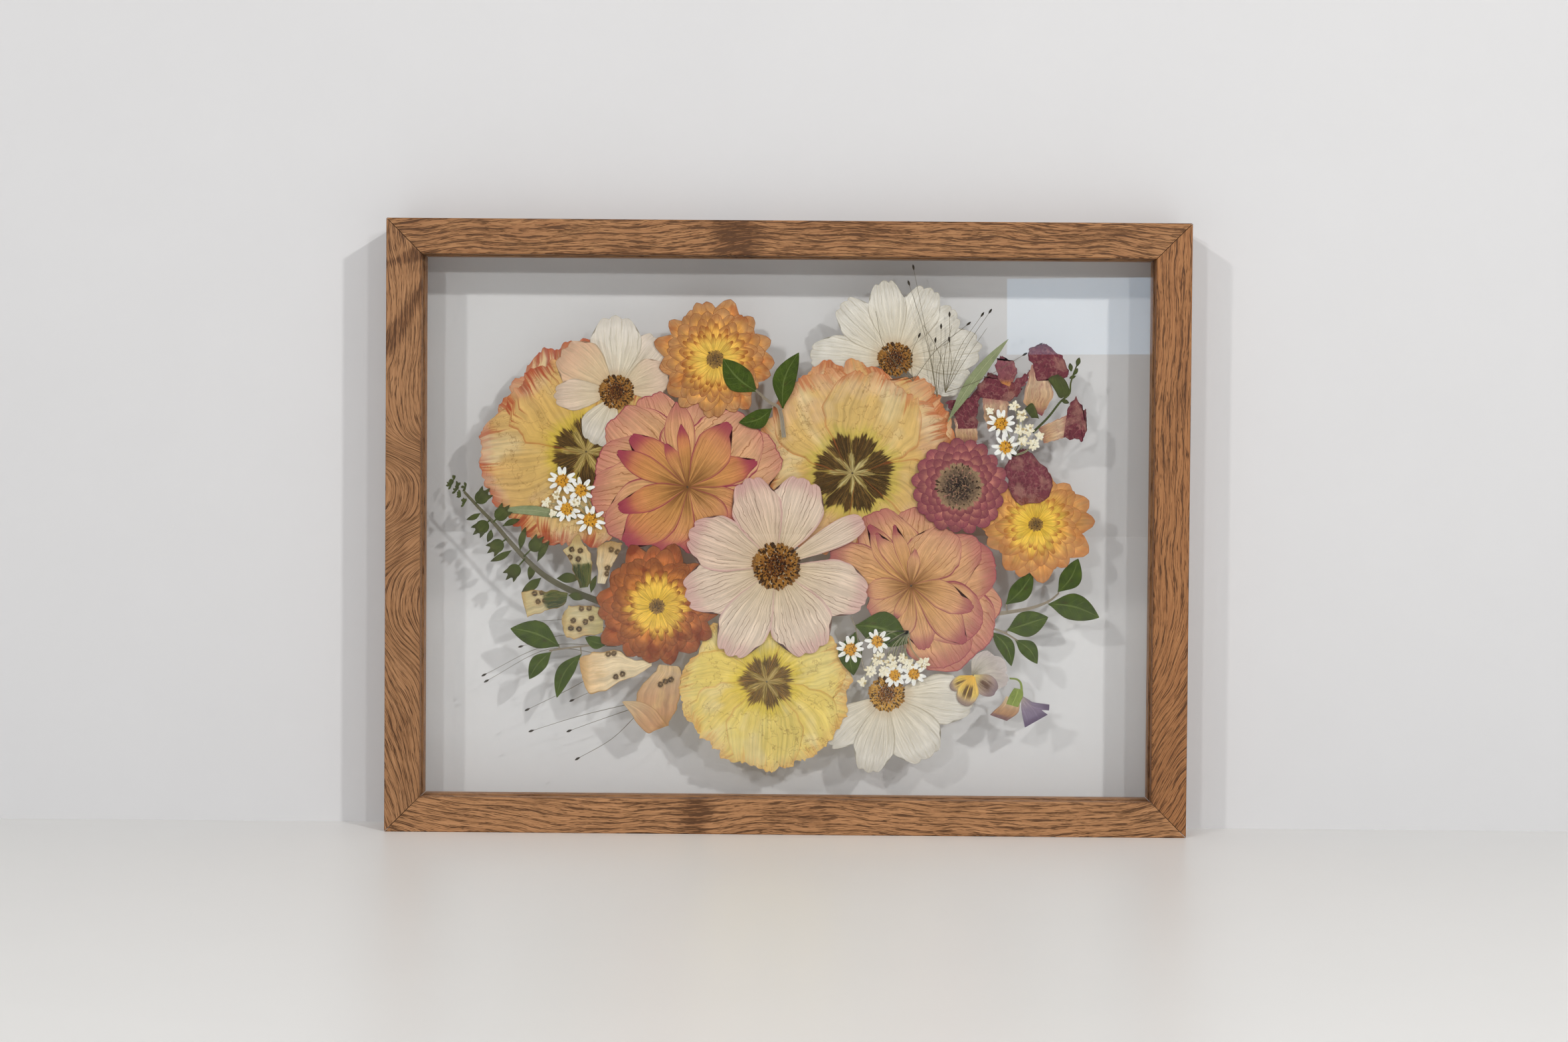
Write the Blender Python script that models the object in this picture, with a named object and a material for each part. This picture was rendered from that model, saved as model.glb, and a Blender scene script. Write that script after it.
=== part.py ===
"""A pressed flower frame: two panes of glass in a mitred oak frame, with a bouquet of pressed
flowers, leaves and seed pods held flat between them.

Lengths below are in millimetres and MM turns them into metres. X runs to the right, Y from the
front of the frame to its back and Z up. The origin is under the middle of the bottom rail.
"""

import math

import bmesh
import bpy
from mathutils import Vector

MM = 0.001

# ---- driving dimensions -------------------------------------------------------------------
WIDTH = 432.0  # outside of the frame
HEIGHT = 330.0
DEPTH = 32.0
FACE = 19.0  # width of a rail, seen from the front
LIP_DEPTH = 6.0  # wood in front of the glass
REBATE = 6.0  # how far the glass reaches behind the lip
EASED = 0.8  # radius of the rails' eased edges
MITRE_SETBACK = 0.21  # each rail's end stops this far short of the mitre line
CLEARANCE = 0.3  # between pieces that touch
GLASS_THICKNESS = 2.0
PANE_GAP = 3.8  # between the two panes, filled by the layers of plants
BEAD_DEPTH = 8.0  # depth of the strips that hold the glass from behind
PRESSED = 0.26  # thickness of a pressed flower
PRESSED_THIN = 0.22  # thickness of what is fused to a thicker piece
THINNER_EACH = 0.015  # each further fused piece is this much thinner, so no two faces coincide
LAYER_PITCH = 0.44  # from one layer of plants to the next one behind it
FIRST_LAYER = 0.33  # middle of the front layer, behind the front pane

FRONT = -DEPTH / 2
BACK = DEPTH / 2
FRONT_PANE = FRONT + LIP_DEPTH + CLEARANCE
PLANTS = FRONT_PANE + GLASS_THICKNESS
BACK_PANE = PLANTS + PANE_GAP
BEAD = BACK_PANE + GLASS_THICKNESS + CLEARANCE

# ---- the bouquet: centre (x, z), then petals as (degrees, length, width) --------------------
COSMOS = {
    "cosmos_centre": (
        (-5.7, 144.4), 0, 13.0,
        [(104, 50, 34), (73, 52, 29), (26, 54, 16), (-20, 52, 30),
         (-64, 52, 32), (-117, 56, 26), (-163, 52, 29), (162, 50, 28)],
    ),
    "cosmos_top": (
        (57.7, 256.7), 7, 10.0,
        [(176, 46, 26), (131, 43, 28), (101, 43, 26), (65, 43, 27), (39, 43, 24),
         (7, 48, 28), (-18, 42, 22)],
    ),
    "cosmos_left": (
        (-92.8, 237.9), 3, 9.6,
        [(145, 36, 24), (91, 41, 26), (51, 37, 22), (20, 32, 22), (-176, 34, 20), (-116, 31, 22)],
    ),
    "cosmos_bottom": (
        (54.7, 76.0), 6, 10.0,
        [(-5, 47, 26), (-55, 43, 30), (-103, 44, 24), (-140, 42, 20)],
    ),
}
TULIPS = {
    "tulip_left": (
        (-110.0, 205.0), 4,
        [(100, 52, 50), (125, 50, 46), (150, 50, 46), (172, 55, 44), (197, 51, 46), (222, 51, 46),
         (250, 50, 46), (282, 49, 46), (320, 44, 46), (0, 42, 46), (50, 42, 46)],
    ),
    "tulip_middle": (
        (35.1, 195.0), 5,
        [(142, 52, 46), (119, 57, 46), (95, 58, 46), (71, 55, 46), (42, 61, 50), (19, 58, 46),
         (-12, 54, 50), (-50, 45, 50), (-90, 42, 46), (-130, 42, 46), (180, 40, 46)],
    ),
    "tulip_bottom": (
        (-10.4, 81.6), 4,
        [(-167, 48, 40), (-145, 46, 40), (-120, 46, 40), (-95, 48, 40), (-72, 47, 40),
         (-48, 47, 40), (-20, 45, 40), (10, 44, 40), (45, 42, 44), (80, 42, 44), (115, 42, 44),
         (150, 46, 44)],
    ),
}
ROSES = {
    "rose_left": (
        (-54.0, 186.8), 2,
        [(22, 52, 40), (49, 47, 40), (80, 46, 40), (105, 50, 40), (134, 56, 40), (162, 52, 40),
         (190, 45, 40), (-133, 46, 40), (-100, 42, 40), (-60, 38, 40), (-20, 40, 40)],
    ),
    "rose_right": (
        (67.4, 134.3), 4,
        [(117, 42, 40), (89, 44, 40), (49, 44, 44), (17, 48, 44), (-15, 47, 44), (-43, 53, 44),
         (-75, 42, 44), (-110, 40, 44), (-150, 36, 44), (162, 47, 44)],
    ),
}
# centre, layer, radius, number of scallops
DOUBLE_FLOWERS = {
    "chrysanthemum_top": ((-39.5, 255.4), 1, 31.0, 13),
    "chrysanthemum_rust": ((-70.0, 121.8), 1, 30.5, 12),
    "chrysanthemum_right": ((134.6, 167.8), 3, 28.5, 13),
    "zinnia_mauve": ((93.0, 187.9), 1, 25.0, 18),
}
# one outline each, front view
FLAT_PETALS = {
    "petal_burgundy": (2, [(118.5, 193), (119, 203), (126.5, 210), (136, 203.5), (143.8, 194),
                           (144.3, 187.8), (141.7, 182.6), (134, 180.8), (127, 178), (120, 184)]),
    "snapdragon_upper": (4, [(129.6, 263), (137.4, 267), (144.4, 262.5), (151.5, 256), (152, 251),
                             (147, 245), (143.8, 238), (137, 226.8), (130, 229.4), (127.7, 238),
                             (130.8, 250)]),
    "snapdragon_left": (5, [(102, 240.5), (109, 250), (112, 250.6), (113.2, 258), (116.6, 259),
                            (122, 256), (123.2, 251), (125.5, 246), (125, 239), (122, 233),
                            (121.3, 226.7), (112.7, 216), (106, 223), (104.7, 236)]),
    "snapdragon_right": (3, [(134.4, 219.9), (150.4, 226.9), (156.4, 237.8), (160.3, 232.2),
                             (162.6, 226.2), (160, 222.7), (161, 214.4), (150.5, 215),
                             (138, 212)]),
    "snapdragon_dark": (6, [(101.8, 212), (103.4, 213.5), (103.4, 226.5), (101.7, 237),
                            (107, 246), (99, 240), (86.1, 235), (89.2, 221.3), (92, 214.3)]),
    "foxglove_bell_tip": (1, [(-141.6, 129), (-128.9, 130.6), (-117.8, 128), (-121, 121.5),
                              (-128.8, 120), (-139, 116.5)]),
    "foxglove_bell_upper": (1, [(-120.2, 149.7), (-112.9, 156), (-106.2, 151.3), (-106.2, 141),
                                (-110.5, 133.7), (-117.9, 141)]),
    "foxglove_bell_middle": (5, [(-101.9, 160.2), (-87.2, 161.7), (-87.2, 147.1), (-96, 137),
                                 (-101, 133.7)]),
    "foxglove_bell_side": (3, [(-120.7, 116), (-117.1, 120.4), (-102.4, 119.8), (-100.9, 110.2),
                               (-106.7, 104.3), (-119.9, 104.2)]),
    "foxglove_bell_long": (3, [(-112, 94), (-110, 97.5), (-93.5, 98), (-73, 93.5), (-75, 89),
                               (-87.5, 81), (-102, 74), (-108.5, 77)]),
    "foxglove_bell_large": (5, [(-72, 94), (-60, 92), (-56, 88), (-57.3, 74), (-62.4, 59),
                                (-72.6, 51.6), (-80.7, 58.9), (-87.5, 70.7), (-79, 76), (-76.5, 83)]),
    "viola": (5, [(86, 82), (91, 77), (98, 73.5), (108, 76.5), (113, 84), (117, 92), (112, 100),
                  (102, 99), (96, 91), (88, 88)]),
}
# blades and single leaves: layer, base, tip, width, bend to the left of the way to the tip
BLADES = {
    "grass_blade_right": (0, (85.7, 222), (118.7, 268.3), 7.5, 2.0),
    "grass_blade_left": (3, (-114.7, 168.8), (-159, 173.2), 7.0, -2.5),
    "leaf_centre_upper": (1, (36.5, 112.8), (65.9, 103.3), 19.0, 3.0),
    "leaf_centre_lower": (1, (38.0, 108.6), (37.4, 85.6), 13.5, -2.5),
}
# sprigs: layer, stem as (x, z) points, then leaves as (base, tip, width, bend)
LEAF_SPRIGS = {
    "leaf_sprig_top": (
        0, [(-17.5, 239.5), (-10.1, 233.0), (-4.5, 229.0), (-3.0, 220.0)],
        [((-16.2, 238.0), (-35.3, 256.0), 15.0, 2.0), ((-2.8, 229.5), (6.2, 260.0), 13.0, 4.0),
         ((-8.6, 230.0), (-27.0, 221.8), 10.5, 3.0)],
    ),
    "leaf_sprig_left": (
        4, [(-128.5, 97.5), (-116.0, 99.4), (-99.0, 101.3), (-88.0, 101.5)],
        [((-122.5, 99.2), (-149.5, 109.2), 14.5, -2.0), ((-127.4, 98.2), (-139.3, 81.7), 9.0, -1.5),
         ((-110.5, 97.6), (-124.3, 71.8), 10.0, -3.0), ((-97.0, 100.8), (-108.3, 105.3), 7.0, 1.0)],
    ),
    "leaf_sprig_right_upper": (
        6, [(147.5, 130.6), (141.5, 126.1), (130.5, 122.2), (112.0, 119.0)],
        [((141.5, 126.0), (169.6, 117.8), 15.0, 2.5), ((146.5, 130.6), (157.8, 149.7), 11.5, -2.0),
         ((119.0, 120.6), (133.2, 142.5), 11.0, -1.5)],
    ),
    "leaf_sprig_right_lower": (
        5, [(125.4, 105.0), (117.4, 109.6), (108.0, 112.4)],
        [((119.6, 108.8), (141.9, 117.6), 14.5, 0.0), ((124.0, 106.0), (136.3, 92.4), 9.0, 2.0),
         ((111.0, 112.0), (122.4, 91.0), 9.5, 3.0)],
    ),
}
# feverfew: layer, stalks as lists of points, then heads as (x, z, radius)
FEVERFEW = {
    "feverfew_left": (
        0, [[(-121.8, 189.7), (-119.0, 180.0), (-112.0, 170.0)],
            [(-111.5, 184.5), (-110.5, 176.0), (-106.4, 168.6)], [(-130.0, 177.8), (-119.1, 174.4)],
            [(-119.1, 174.4), (-110.5, 172.0), (-106.4, 168.6)]],
        [(-121.8, 189.4, 7.4), (-111.3, 184.5, 7.6), (-119.1, 174.4, 7.4), (-106.3, 168.7, 8.0),
         (-130.0, 177.8, 5.0)],
    ),
    "feverfew_right": (
        0, [[(115.0, 222.3), (116.5, 216.0), (117.6, 209.6)],
            [(122.1, 231.9), (126.0, 224.0), (132.8, 211.2)],
            [(117.6, 212.0), (124.0, 219.0), (127.5, 222.0)]],
        [(115.0, 222.3, 7.6), (117.6, 209.6, 7.6), (122.1, 231.9, 3.8), (126.5, 226.0, 4.0),
         (130.0, 218.5, 4.4), (133.4, 211.2, 4.6)],
    ),
    "feverfew_bottom": (
        0, [[(34.7, 99.6), (36.5, 90.0), (41.4, 82.0)], [(49.3, 104.1), (50.1, 94.6), (59.0, 85.8)],
            [(59.0, 104.0), (66.0, 95.0), (72.0, 87.5)],
            [(41.4, 84.0), (50.0, 90.0), (59.0, 86.5), (69.0, 87.5)]],
        [(34.7, 99.6, 7.4), (49.2, 103.9, 7.2), (59.0, 85.6, 7.4), (41.4, 82.5, 6.6),
         (70.0, 88.0, 6.8), (51.0, 94.0, 6.4)],
    ),
}
# the foxglove's stem with its pods as (base, tip, width)
SPIKE_STEM = [(-181.0, 187.0), (-173.1, 180.9), (-162.8, 170.7), (-151.0, 156.8), (-137.8, 144.5),
              (-123.0, 135.0), (-112.7, 130.0), (-99.5, 125.7)]
SPIKE_PODS = [((-177.0, 184.0), (-186.0, 187.5), 9.0), ((-174.0, 181.0), (-177.5, 172.5), 6.0),
              ((-170.0, 178.5), (-163.5, 186.0), 7.0), ((-161.0, 169.0), (-153.5, 176.5), 8.0),
              ((-161.5, 169.5), (-170.0, 163.5), 8.0), ((-152.5, 159.5), (-160.5, 150.5), 9.0),
              ((-142.5, 149.0), (-133.5, 160.0), 9.5), ((-137.0, 144.0), (-152.0, 137.0), 8.5),
              ((-124.0, 135.6), (-127.0, 120.0), 4.5)]

MATERIALS = {
    "oak": ((0.37, 0.18, 0.085), 0.55),
    "glass": ((0.93, 0.96, 0.95), 0.03),
    "cosmos_petal": ((0.66, 0.56, 0.47), 0.7),
    "tulip_petal": ((0.62, 0.40, 0.16), 0.65),
    "rose_petal": ((0.55, 0.28, 0.13), 0.65),
    "chrysanthemum_petal": ((0.58, 0.25, 0.07), 0.65),
    "zinnia_petal": ((0.27, 0.08, 0.085), 0.7),
    "snapdragon_petal": ((0.18, 0.055, 0.05), 0.7),
    "foxglove_petal": ((0.62, 0.48, 0.30), 0.7),
    "feverfew_petal": ((0.72, 0.66, 0.52), 0.7),
    "pansy_petal": ((0.40, 0.33, 0.28), 0.7),
    "leaf_green": ((0.08, 0.10, 0.02), 0.6),
}


def clear_scene():
    for item in list(bpy.data.objects):
        bpy.data.objects.remove(item, do_unlink=True)


def surface(name):
    """The Principled material of that name, made when it is first asked for."""
    found = bpy.data.materials.get(name)
    if found:
        return found
    colour, roughness = MATERIALS[name]
    made = bpy.data.materials.new(name)
    made.use_nodes = True
    shader = made.node_tree.nodes["Principled BSDF"]
    shader.inputs["Base Color"].default_value = (*colour, 1.0)
    shader.inputs["Roughness"].default_value = roughness
    shader.inputs["Metallic"].default_value = 0.0
    if name == "glass":
        shader.inputs["Transmission Weight"].default_value = 1.0
    return made


def add_object(name, mesh, material):
    mesh.materials.append(surface(material))
    made = bpy.data.objects.new(name, mesh)
    bpy.context.scene.collection.objects.link(made)
    return made


# ---- the frame -----------------------------------------------------------------------------
def eased(corners, radii, steps=3):
    """The corners of a profile, each turned into an arc of its own radius."""
    rounded = []
    for i, corner in enumerate(corners):
        here = Vector(corner)
        before = (Vector(corners[i - 1]) - here).normalized()
        after = (Vector(corners[(i + 1) % len(corners)]) - here).normalized()
        radius = radii[i]
        if radius == 0:
            rounded.append(tuple(here))
            continue
        middle = here + (before + after) * radius
        for step in range(steps + 1):
            turn = math.pi / 2 * step / steps
            rounded.append(tuple(middle - after * radius * math.cos(turn) - before * radius * math.sin(turn)))
    return rounded


def mitred_rail(name, side, profile, inset=0.0):
    """A profile of (inward, y) points, run along one side of the frame and cut at 45 degrees."""
    half_width, middle, half_height = WIDTH / 2, HEIGHT / 2, HEIGHT / 2
    mesh = bpy.data.meshes.new(name)
    shape = bmesh.new()
    ends = []
    for end in (-1, 1):
        ring = []
        for inward, y in profile:
            along = inward + inset + MITRE_SETBACK
            if side in ("top", "bottom"):
                up = half_height - inward
                x, z = end * (half_width - along), middle + (up if side == "top" else -up)
            else:
                out = half_width - inward
                x, z = (out if side == "right" else -out), middle + end * (half_height - along)
            ring.append(shape.verts.new((x * MM, y * MM, z * MM)))
        ends.append(ring)
    count = len(profile)
    for i in range(count):
        j = (i + 1) % count
        shape.faces.new((ends[0][i], ends[0][j], ends[1][j], ends[1][i]))
    shape.faces.new(ends[0])
    shape.faces.new(ends[1])
    bmesh.ops.recalc_face_normals(shape, faces=shape.faces)
    shape.to_mesh(mesh)
    shape.free()
    return add_object(name, mesh, "oak")


def rail_profile():
    """The L-shaped section of a rail: a lip in front of the glass and a rebate behind it."""
    rebate = FACE - REBATE
    corners = [(0, FRONT), (FACE, FRONT), (FACE, FRONT + LIP_DEPTH), (rebate, FRONT + LIP_DEPTH),
               (rebate, BACK), (0, BACK)]
    return eased(corners, [EASED, EASED, 0, 0, EASED, EASED])


def bead_profile():
    """The section of a glazing strip, set in the rebate behind the back pane."""
    outer, inner = FACE - REBATE + CLEARANCE, FACE
    corners = [(outer, BEAD), (inner, BEAD), (inner, BEAD + BEAD_DEPTH), (outer, BEAD + BEAD_DEPTH)]
    return eased(corners, [0, 0, EASED, 0])


def pane(name, front):
    """One sheet of glass, a clearance smaller than the rebates that hold it."""
    margin = FACE - REBATE + CLEARANCE
    mesh = bpy.data.meshes.new(name)
    shape = bmesh.new()
    bmesh.ops.create_cube(shape, size=1.0)
    size = Vector(((WIDTH - 2 * margin) * MM, GLASS_THICKNESS * MM, (HEIGHT - 2 * margin) * MM))
    centre = Vector((0, (front + GLASS_THICKNESS / 2) * MM, HEIGHT / 2 * MM))
    bmesh.ops.scale(shape, vec=size, verts=shape.verts)
    bmesh.ops.translate(shape, vec=centre, verts=shape.verts)
    shape.to_mesh(mesh)
    shape.free()
    return add_object(name, mesh, "glass")


def build_frame():
    for side in ("top", "bottom", "left", "right"):
        mitred_rail(f"rail_{side}", side, rail_profile())
        mitred_rail(f"glazing_strip_{side}", side, bead_profile())
    pane("glass_front", FRONT_PANE)
    pane("glass_back", BACK_PANE)


# ---- pressed plants ------------------------------------------------------------------------
def layer_depth(layer):
    return PLANTS + FIRST_LAYER + layer * LAYER_PITCH


def flat_mesh(name, outline, depth, thickness):
    """A closed slab, in millimetres, of one outline of (x, z) points seen from the front."""
    mesh = bpy.data.meshes.new(name)
    shape = bmesh.new()
    front = depth - thickness / 2
    corners = [shape.verts.new((x, front, z)) for x, z in outline]
    face = shape.faces.new(corners)
    grown = bmesh.ops.extrude_face_region(shape, geom=[face])
    moved = [item for item in grown["geom"] if isinstance(item, bmesh.types.BMVert)]
    bmesh.ops.translate(shape, vec=(0, thickness, 0), verts=moved)
    bmesh.ops.triangulate(shape, faces=shape.faces)
    bmesh.ops.recalc_face_normals(shape, faces=shape.faces)
    shape.to_mesh(mesh)
    shape.free()
    return mesh


def flower_outline(centre, petals, hub, points):
    """The outline of a flower seen flat: at each angle, the reach of the petal that goes furthest."""
    outline = []
    for i in range(points):
        angle = 2 * math.pi * i / points
        reach = hub
        for degrees, length, width in petals:
            half = math.asin(min(0.95, width / 2 / (0.72 * length)))
            off = math.remainder(angle - math.radians(degrees), 2 * math.pi) / half
            if abs(off) < 1:
                reach = max(reach, length * math.sqrt(1 - off**4))
        outline.append((centre[0] + reach * math.cos(angle), centre[1] + reach * math.sin(angle)))
    return outline


def leaf_outline(base, tip, width, bend=0.0, steps=6):
    """A pointed oval from base to tip, its midrib bent to the left by bend at the middle."""
    start, end = Vector(base), Vector(tip)
    across = Vector((-(end - start).y, (end - start).x)).normalized()
    left, right = [], []
    for i in range(1, steps):
        along = i / steps
        middle = start.lerp(end, along) + across * bend * math.sin(math.pi * along)
        half = width / 2 * math.sin(math.pi * along**0.9) ** 0.8
        left.append(tuple(middle + across * half))
        right.append(tuple(middle - across * half))
    return [tuple(start), *right, tuple(end), *reversed(left)]


def ribbon_outline(points, width):
    """A narrow strip that follows a stem."""
    left, right = [], []
    for i, point in enumerate(points):
        way = Vector(points[min(i + 1, len(points) - 1)]) - Vector(points[max(i - 1, 0)])
        across = Vector((-way.y, way.x)).normalized() * width / 2
        left.append(tuple(Vector(point) + across))
        right.append(tuple(Vector(point) - across))
    return [*right, *reversed(left)]


def on_stem(stem, point):
    """The place on a stem that is nearest to a leaf's base, so that the two join."""
    nearest = []
    for start, end in zip(stem, stem[1:]):
        way = Vector(end) - Vector(start)
        along = (Vector(point) - Vector(start)).dot(way) / way.length_squared
        place = Vector(start) + way * min(1, max(0, along))
        nearest.append(((place - Vector(point)).length, tuple(place)))
    return min(nearest)[1]


def pressed(name, outline, layer, material, thickness=PRESSED):
    """A pressed piece. Its mesh is in millimetres, which suits Booleans on slabs this thin."""
    made = add_object(name, flat_mesh(name, outline, layer_depth(layer), thickness), material)
    made.scale = (MM, MM, MM)
    return made


def fused(name, main, others, layer, material):
    """One flat solid from several outlines: the others are thinner and are joined to the main one."""
    whole = pressed(name, main, layer, material)
    for i, outline in enumerate(others):
        helper = pressed(f"{name}_joined_{i}", outline, layer, material, PRESSED_THIN - THINNER_EACH * i)
        helper.hide_render = True
        helper.display_type = "WIRE"
        union = whole.modifiers.new(f"join_{i}", "BOOLEAN")
        union.operation = "UNION"
        union.solver = "EXACT"
        union.object = helper
    return whole


def build_flowers():
    for name, (centre, layer, hub, petals) in COSMOS.items():
        pressed(name, flower_outline(centre, petals, hub, 72), layer, "cosmos_petal")
    for name, (centre, layer, petals) in TULIPS.items():
        pressed(name, flower_outline(centre, petals, 30.0, 48), layer, "tulip_petal")
    for name, (centre, layer, petals) in ROSES.items():
        pressed(name, flower_outline(centre, petals, 30.0, 48), layer, "rose_petal")
    for name, (centre, layer, radius, scallops) in DOUBLE_FLOWERS.items():
        petals = [(360 * i / scallops, radius, radius * 0.62) for i in range(scallops)]
        material = "zinnia_petal" if name.startswith("zinnia") else "chrysanthemum_petal"
        outline = flower_outline(centre, petals, radius * 0.85, 4 * scallops)
        pressed(name, outline, layer, material)


def build_flat_petals():
    kinds = {"petal": "snapdragon_petal", "snapdragon": "snapdragon_petal",
             "foxglove": "foxglove_petal", "viola": "pansy_petal"}
    for name, (layer, outline) in FLAT_PETALS.items():
        pressed(name, outline, layer, kinds[name.split("_")[0]])


def build_leaves():
    for name, (layer, base, tip, width, bend) in BLADES.items():
        pressed(name, leaf_outline(base, tip, width, bend), layer, "leaf_green")
    for name, (layer, stem, leaves) in LEAF_SPRIGS.items():
        outlines = [leaf_outline(on_stem(stem, base), *shape) for base, *shape in leaves]
        fused(name, ribbon_outline(stem, 1.4), outlines, layer, "leaf_green")


def build_small_flowers():
    for name, (layer, stalks, heads) in FEVERFEW.items():
        main, *rest = [ribbon_outline(stalk, 0.9) for stalk in stalks]
        for x, z, radius in heads:
            petals = [(30 * i, radius, radius * 0.5) for i in range(12)]
            rest.append(flower_outline((x, z), petals, radius * 0.8, 24))
        fused(name, main, rest, layer, "feverfew_petal")
    bell = leaf_outline((121.5, 86.0), (110.5, 67.5), 10.0, 0.0, 5)
    bell_open = [(121.0, 82.0), (124.0, 83.0), (141.5, 72.6), (140.6, 68.5), (128.2, 61.8), (126.2, 66.0)]
    stalk = ribbon_outline([(117.0, 88.6), (122.5, 88.8), (124.3, 86.0), (122.0, 80.0)], 1.4)
    fused("bellflower_lilac", stalk, [bell, bell_open], 3, "pansy_petal")
    stem = ribbon_outline(
        [(156.0, 258.0), (153.5, 252.0), (150.5, 243.0), (147.5, 236.0), (137.0, 224.0)], 1.2)
    bud = leaf_outline((148.5, 238.5), (140.0, 249.0), 10.0)
    fused("snapdragon_bud", stem, [bud], 2, "leaf_green")


def build_foxglove_spike():
    pods = [leaf_outline(on_stem(SPIKE_STEM, base), tip, width, 0.0, 5) for base, tip, width in SPIKE_PODS]
    fused("foxglove_spike", ribbon_outline(SPIKE_STEM, 2.4), pods, 2, "leaf_green")


clear_scene()
build_frame()
build_flowers()
build_flat_petals()
build_leaves()
build_small_flowers()
build_foxglove_spike()
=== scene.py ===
# %% [markdown]
# # A pressed flower frame
# The real object is a mitred oak frame that holds two sheets of glass, with a bouquet of dried
# flowers and leaves pressed flat between them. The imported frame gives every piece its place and
# its size. This lesson gives the pieces their looks: wood with grain, clear glass, and petals
# thin enough to show their veins and a little of what lies behind them.

# %% Load the frame
import math

import bpy
import numpy as np
from mathutils import Matrix, Vector


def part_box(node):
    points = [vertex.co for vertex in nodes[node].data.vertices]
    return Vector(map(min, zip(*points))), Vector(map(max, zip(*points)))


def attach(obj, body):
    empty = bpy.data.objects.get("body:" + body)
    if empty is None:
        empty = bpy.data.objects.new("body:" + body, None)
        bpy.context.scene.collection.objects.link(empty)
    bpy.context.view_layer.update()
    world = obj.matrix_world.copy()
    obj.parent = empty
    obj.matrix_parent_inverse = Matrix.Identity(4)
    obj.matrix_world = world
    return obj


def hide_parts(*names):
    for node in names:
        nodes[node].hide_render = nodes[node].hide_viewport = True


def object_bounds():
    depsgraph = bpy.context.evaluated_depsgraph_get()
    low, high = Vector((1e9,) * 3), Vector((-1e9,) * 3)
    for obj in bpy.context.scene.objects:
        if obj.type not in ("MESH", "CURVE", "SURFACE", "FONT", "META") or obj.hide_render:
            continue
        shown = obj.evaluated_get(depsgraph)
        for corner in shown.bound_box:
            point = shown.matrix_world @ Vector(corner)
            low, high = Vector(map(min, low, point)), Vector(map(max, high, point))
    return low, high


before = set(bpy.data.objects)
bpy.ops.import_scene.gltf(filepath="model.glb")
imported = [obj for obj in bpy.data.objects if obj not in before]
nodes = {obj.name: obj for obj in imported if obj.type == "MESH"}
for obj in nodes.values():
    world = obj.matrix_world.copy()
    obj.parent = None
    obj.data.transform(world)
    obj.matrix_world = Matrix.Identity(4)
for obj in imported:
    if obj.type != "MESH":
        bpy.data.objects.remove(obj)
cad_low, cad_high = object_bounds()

MM = 0.001
GOLDEN_TURN = math.radians(137.508)
scene = bpy.context.scene
print("frame holds", len(nodes), "nodes and measures", [round(v / MM) for v in cad_high - cad_low], "mm")

# %% [markdown]
# ## Colours
# Colours are written as they look in the finished room, as six hexadecimal digits. A surface
# there is darker than its own pigment, because the lamps are not infinitely bright, so each
# colour is turned into linear light and lifted by what the lamps leave out.

# %% Turn a seen colour into a pigment
LIFT = 1.12
OAK_LIFT = 1.33
# No real pigment is paler than this.
PALEST = 0.86


def paint(seen, lift=LIFT):
    """The pigment, in linear light, of a colour seen as rrggbb."""
    digits = [int(seen[i:i + 2], 16) / 255 for i in (0, 2, 4)]
    linear = [d / 12.92 if d < 0.04045 else ((d + 0.055) / 1.055) ** 2.4 for d in digits]
    return (*[min(PALEST, value * lift) for value in linear], 1.0)


print("white petal pigment", [round(v, 2) for v in paint("d4cbc0")])

# %% [markdown]
# ## Materials as formulas
# A node material is a formula drawn as boxes and wires. Writing it box by box takes many lines,
# so a Signal stands for one wire: adding or multiplying Signals adds the matching Math node. A
# Finish is one material under construction, with a short method for each texture it needs.

# %% Signals and finishes
def plug(tree, value, socket):
    """Wires a Signal into a socket, or sets a plain value on it."""
    if isinstance(value, Signal):
        tree.links.new(value.socket, socket)
    else:
        socket.default_value = value


class Signal:
    """One wire of a node tree, which arithmetic turns into more nodes."""

    def __init__(self, tree, socket):
        self.tree, self.socket = tree, socket

    def maths(self, operation, *others):
        node = self.tree.nodes.new("ShaderNodeMath")
        node.operation = operation
        for socket, value in zip(node.inputs, (self, *others)):
            plug(self.tree, value, socket)
        return Signal(self.tree, node.outputs[0])

    def __add__(self, other):
        return self.maths("ADD", other)

    def __sub__(self, other):
        return self.maths("SUBTRACT", other)

    def __mul__(self, other):
        return self.maths("MULTIPLY", other)

    def __truediv__(self, other):
        return self.maths("DIVIDE", other)

    def __pow__(self, other):
        return self.maths("POWER", other)

    def flipped(self):
        """One minus this signal."""
        return (self * -1.0) + 1.0

    def rises(self, low, high):
        """0 below low, 1 above high, with a soft step between. It falls if low is above high."""
        node = self.tree.nodes.new("ShaderNodeMapRange")
        node.interpolation_type = "SMOOTHSTEP"
        for name, value in (("Value", self), ("From Min", low), ("From Max", high)):
            plug(self.tree, value, node.inputs[name])
        return Signal(self.tree, node.outputs[0])


class Builder:
    """Adds nodes of one family to a tree."""

    family = "ShaderNode"

    def node(self, kind, output=0, settings=None, **inputs):
        """Adds a node with its inputs set or wired, and gives back one of its outputs."""
        made = self.tree.nodes.new(self.family + kind)
        for key, value in (settings or {}).items():
            setattr(made, key, value)
        for name, value in inputs.items():
            plug(self.tree, value, made.inputs[name.replace("_", " ")])
        return Signal(self.tree, made.outputs[output])


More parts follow.
